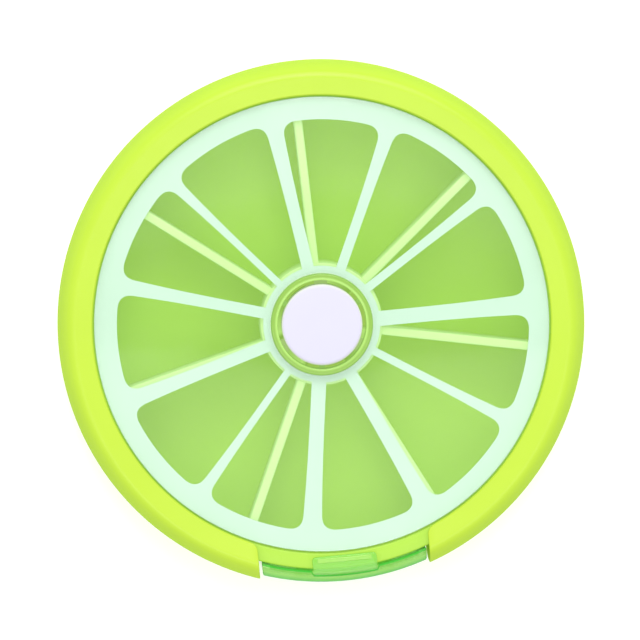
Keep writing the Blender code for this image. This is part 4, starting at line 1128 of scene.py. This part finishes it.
def make_flip_lid(material):
    """See-through shell with closed ends, thumb tab and knuckles."""
    bulge = bulge_points(LID_BOTTOM, LID_TOP, LID_SET_BACK)
    profile = [(RIND_INNER_RADIUS + GAP, LID_TOP)]
    profile += [point for point in bulge if point[0] > RIND_INNER_RADIUS + GAP]
    profile.append((RIND_INNER_RADIUS, LID_BOTTOM))
    profile.append((RIND_INNER_RADIUS, LID_TOP - GAP))
    mesh = sector_mesh("lid", profile, LID_HALF_WIDTH, True, ARC_STEPS, LID_END_ROUND)
    lid = add_piece("flip_lid_smooth", mesh, "lid", "flip_lid", material)
    low = LID_BOTTOM + LID_WALL
    high = LID_TOP - LID_WALL
    hollow = bulge_points(low, high, LID_SET_BACK + LID_WALL)
    hollow.append((CASE_RADIUS, low))
    hollow.append((CASE_RADIUS, high))
    inner_width = LID_HALF_WIDTH - LID_WALL
    inside = sector_mesh("hollow", hollow, inner_width, True, ARC_STEPS, LID_END_ROUND)
    combine(lid, inside, "DIFFERENCE")
    tab = box_mesh(
        "tab", (-TAB_HALF_WIDTH, -TAB_ROOT, TAB_BOTTOM), (TAB_HALF_WIDTH, -TAB_REACH, TAB_TOP)
    )
    rounded_mesh(rounded_mesh(tab, TAB_CORNER, "Z"), TAB_ROUND)
    combine(lid, tab, "UNION")
    inset = TAB_CORNER + GAP
    root = box_mesh(
        "root",
        (-TAB_HALF_WIDTH + inset, -TAB_ROOT + GAP / 3.0, LID_TOP - LID_WALL / 2.0),
        (TAB_HALF_WIDTH - inset, -RIND_INNER_RADIUS, TAB_TOP - GAP / 2.0),
    )
    combine(lid, root, "UNION")
    ridge = box_mesh(
        "ridge",
        (-TAB_HALF_WIDTH + inset, -TAB_REACH - TAB_RIDGE_WIDTH - GAP, TAB_BOTTOM + GAP),
        (TAB_HALF_WIDTH - inset, -TAB_REACH - GAP, TAB_TOP + TAB_RIDGE_HEIGHT),
    )
    combine(lid, rounded_mesh(ridge, TAB_ROUND), "UNION")
    for sign in (-1.0, 1.0):
        left, right = sorted((sign * KNUCKLE_INNER, sign * KNUCKLE_OUTER))
        barrel = cylinder_mesh(
            "barrel",
            BARREL_RADIUS,
            (left, -HINGE_RADIUS, HINGE_HEIGHT),
            (right, -HINGE_RADIUS, HINGE_HEIGHT),
        )
        combine(lid, barrel, "UNION")
        web = box_mesh(
            "web",
            (left + GAP / 3.0, -HINGE_RADIUS - BARREL_RADIUS / 2.0, HINGE_HEIGHT),
            (right - GAP / 3.0, -HINGE_RADIUS + BARREL_RADIUS / 2.0, LID_BOTTOM + LID_WALL / 2.0),
        )
        combine(lid, web, "UNION")
    bore = cylinder_mesh(
        "bore",
        BARREL_BORE_RADIUS,
        (-LID_HALF_WIDTH, -HINGE_RADIUS, HINGE_HEIGHT),
        (LID_HALF_WIDTH, -HINGE_RADIUS, HINGE_HEIGHT),
    )
    combine(lid, bore, "DIFFERENCE")
    smooth(lid)


def coil_height(turns):
    """Height of the spring's wire after some turns; the first and last turn lie close."""
    from_end = min(turns, SPRING_TURNS - turns)
    if from_end < 1.0:
        rise = SPRING_END_PITCH * from_end
        return SPRING_BOTTOM + rise if turns < 1.0 else SPRING_TOP - rise
    share = (turns - 1.0) / (SPRING_TURNS - 2.0)
    low = SPRING_BOTTOM + SPRING_END_PITCH
    return low + (SPRING_TOP - SPRING_END_PITCH - low) * share


def make_return_spring(material):
    """Coil of round wire that is squeezed between the button and the case."""
    vertices = []
    faces = []
    rings = SPRING_TURNS * SPRING_STEPS + 1
    for ring in range(rings):
        turns = ring / SPRING_STEPS
        for side in range(WIRE_SIDES):
            around = 2.0 * math.pi * side / WIRE_SIDES
            radius = SPRING_RADIUS + WIRE_RADIUS * math.cos(around)
            height = coil_height(turns) + WIRE_RADIUS * math.sin(around)
            vertices.append((*polar(radius, 2.0 * math.pi * turns), height))
            if ring < rings - 1:
                corner = ring * WIRE_SIDES + side
                beside = ring * WIRE_SIDES + (side + 1) % WIRE_SIDES
                faces.append((corner, beside, beside + WIRE_SIDES, corner + WIRE_SIDES))
    faces.append(tuple(range(WIRE_SIDES)))
    faces.append(tuple(range((rings - 1) * WIRE_SIDES, rings * WIRE_SIDES)))
    mesh = mesh_from("spring", vertices, faces)
    item = add_piece("return_spring_smooth", mesh, "", "return_spring", material)
    smooth(item)
    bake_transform(item)


def finish_node(name, material):
    """Give a CAD node a finished material."""
    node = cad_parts[name]
    node.data.materials.clear()
    node.data.materials.append(material)


def make_pieces():
    """Finished pieces in place of the CAD nodes, and finishes for the nodes that stay."""
    # Painted shade on the ring, darker from the crown outwards
    ring_shading_radii = (RIND_CROWN_RADIUS, RIND_RADIUS)
    # Painted shade on the tray, darker at the floor and lighter towards the wall tops
    tray_shading_heights = (TRAY_FLOOR_TOP, TRAY_WALL_TOP)
    lime = graded_plastic(
        "lime_plastic",
        object_radius,
        ring_shading_radii,
        (LIME, SHADED_SIDE_LIME),
        RING_GLOW_SHARE,
        RING_ROUGHNESS,
    )
    deep_lime = moulded_plastic(
        "deep_lime_plastic", DEEP_LIME, CASE_ROUGHNESS, glow_share=CASE_GLOW_SHARE
    )
    inner_lime = moulded_plastic(
        "inner_lime_plastic", INNER_LIME, INNER_ROUGHNESS, glow_share=INNER_GLOW_SHARE
    )
    # Painted shade on the ratchet ring, darker towards the bottom
    stepped_lime = graded_plastic(
        "stepped_lime_plastic",
        height_share,
        (0.5, 1.0),
        (RATCHET_SHADED_LIME, RATCHET_LIT_LIME),
        INNER_GLOW_SHARE,
        INNER_ROUGHNESS,
    )
    pale_lime = graded_plastic(
        "pale_lime_plastic",
        object_height,
        tray_shading_heights,
        (TRAY_FLOOR_SHADED_LIME, TRAY_TOP_LIT_LIME),
        TRAY_GLOW_SHARE,
        TRAY_ROUGHNESS,
    )
    mint = moulded_plastic("mint_print", MINT, MINT_ROUGHNESS, glow_share=MINT_GLOW_SHARE)
    white = moulded_plastic("white_plastic", WHITE, INNER_ROUGHNESS)
    steel = drawn_steel("steel")
    make_rind_ring(lime)
    make_upper_case(deep_lime)
    make_window(window_plastic("clear_plastic"))
    make_slice_inlay(mint)
    make_push_button(button_plastic("button_plastic"))
    make_compartment_tray(pale_lime)
    make_flip_lid(lid_plastic("clear_green_plastic"))
    make_return_spring(steel)
    finish_node("bottom_cover", deep_lime)
    finish_node("drive_stem", white)
    finish_node("indexer", inner_lime)
    finish_node("ratchet_ring", stepped_lime)
    finish_node("lid_pin", steel)


# Room


def picture_axes():
    """Directions to the right and up in the picture, along the floor."""
    right = Vector((math.cos(CAMERA_ROLL), -math.sin(CAMERA_ROLL), 0))
    up = Vector((math.sin(CAMERA_ROLL), math.cos(CAMERA_ROLL), 0))
    return right, up


def add_area_light(name, place, target, size, size_y, radiance):
    """A soft box that shines with a given radiance, its sides level with the picture's."""
    light = bpy.data.lights.new(name, "AREA")
    light.shape = "RECTANGLE"
    light.size = size
    light.size_y = size_y
    light.energy = radiance * math.pi * size * size_y
    item = bpy.data.objects.new(name, light)
    bpy.context.scene.collection.objects.link(item)
    away = (Vector(place) - Vector(target)).normalized()
    right = picture_axes()[0]
    upwards = away.cross(right).normalized()
    turn = Matrix((upwards.cross(away), upwards, away)).transposed()
    item.matrix_world = Matrix.Translation(place) @ turn.to_4x4()
    return item


def add_room():
    """Pale floor, even room light and the soft boxes."""
    half = FLOOR_SIZE / 2.0
    corners = [(-half, -half, 0), (half, -half, 0), (half, half, 0), (-half, half, 0)]
    floor = bpy.data.objects.new("floor", mesh_from("floor", corners, [(0, 1, 2, 3)]))
    bpy.context.scene.collection.objects.link(floor)
    material, tree, shader = new_material("floor_paper")
    marks = noise(tree, PATCH_SIZE, MOTTLE_DETAIL)
    fibre = spread_value(tree, marks, NOISE_LOW, NOISE_HIGH, 0.0, 1.0)
    tint = mixed_colour(tree, fibre, shade(FLOOR_COLOUR, FIBRE_SHADE), FLOOR_COLOUR)
    tree.links.new(tint, shader.inputs["Base Color"])
    shader.inputs["Roughness"].default_value = FLOOR_ROUGHNESS
    shader.inputs["Specular IOR Level"].default_value = 0.0
    shader.inputs["Emission Color"].default_value = (*FLOOR_COLOUR, 1.0)
    shader.inputs["Emission Strength"].default_value = FLOOR_GLOW_SHARE
    floor.data.materials.append(material)
    world = bpy.data.worlds.new("room")
    world.use_nodes = True
    background = world.node_tree.nodes["Background"]
    background.inputs["Color"].default_value = (*ROOM_COLOUR, 1.0)
    background.inputs["Strength"].default_value = ROOM_STRENGTH
    bpy.context.scene.world = world
    add_area_light("key", KEY_PLACE, (0, 0, 0), KEY_SIZE, KEY_SIZE, KEY_RADIANCE)
    up = picture_axes()[1]
    panel = up * (PANEL_NEAR_EDGE - PANEL_DEPTH / 2.0)
    strip = up * (STRIP_NEAR_EDGE + STRIP_DEPTH / 2.0)
    for name, middle, size, size_y, radiance in (
        ("panel", panel, PANEL_WIDTH, PANEL_DEPTH, PANEL_RADIANCE),
        ("strip", strip, STRIP_WIDTH, STRIP_DEPTH, STRIP_RADIANCE),
    ):
        place = (middle.x, middle.y, LIGHT_HEIGHT)
        add_area_light(name, place, (middle.x, middle.y, 0), size, size_y, radiance)


def add_camera():
    """Camera above the organizer, at the photograph's lean, roll and framing."""
    camera = bpy.data.cameras.new("camera")
    camera.sensor_width = SENSOR_WIDTH
    camera.lens = SENSOR_WIDTH * CAMERA_DISTANCE / FRAME_WIDTH
    item = bpy.data.objects.new("camera", camera)
    bpy.context.scene.collection.objects.link(item)
    right, up = picture_axes()
    back = right * CAMERA_LEAN_RIGHT + up * CAMERA_LEAN_UP + Vector((0, 0, 1))
    back.normalize()
    level_right = up.cross(back).normalized()
    turn = Matrix((level_right, back.cross(level_right), back)).transposed()
    item.matrix_world = Matrix.Translation(
        Vector(CAMERA_AIM) + back * CAMERA_DISTANCE
    ) @ turn.to_4x4()
    bpy.context.scene.camera = item


bpy.context.scene.view_settings.view_transform = "Standard"
add_camera()
add_room()
make_pieces()
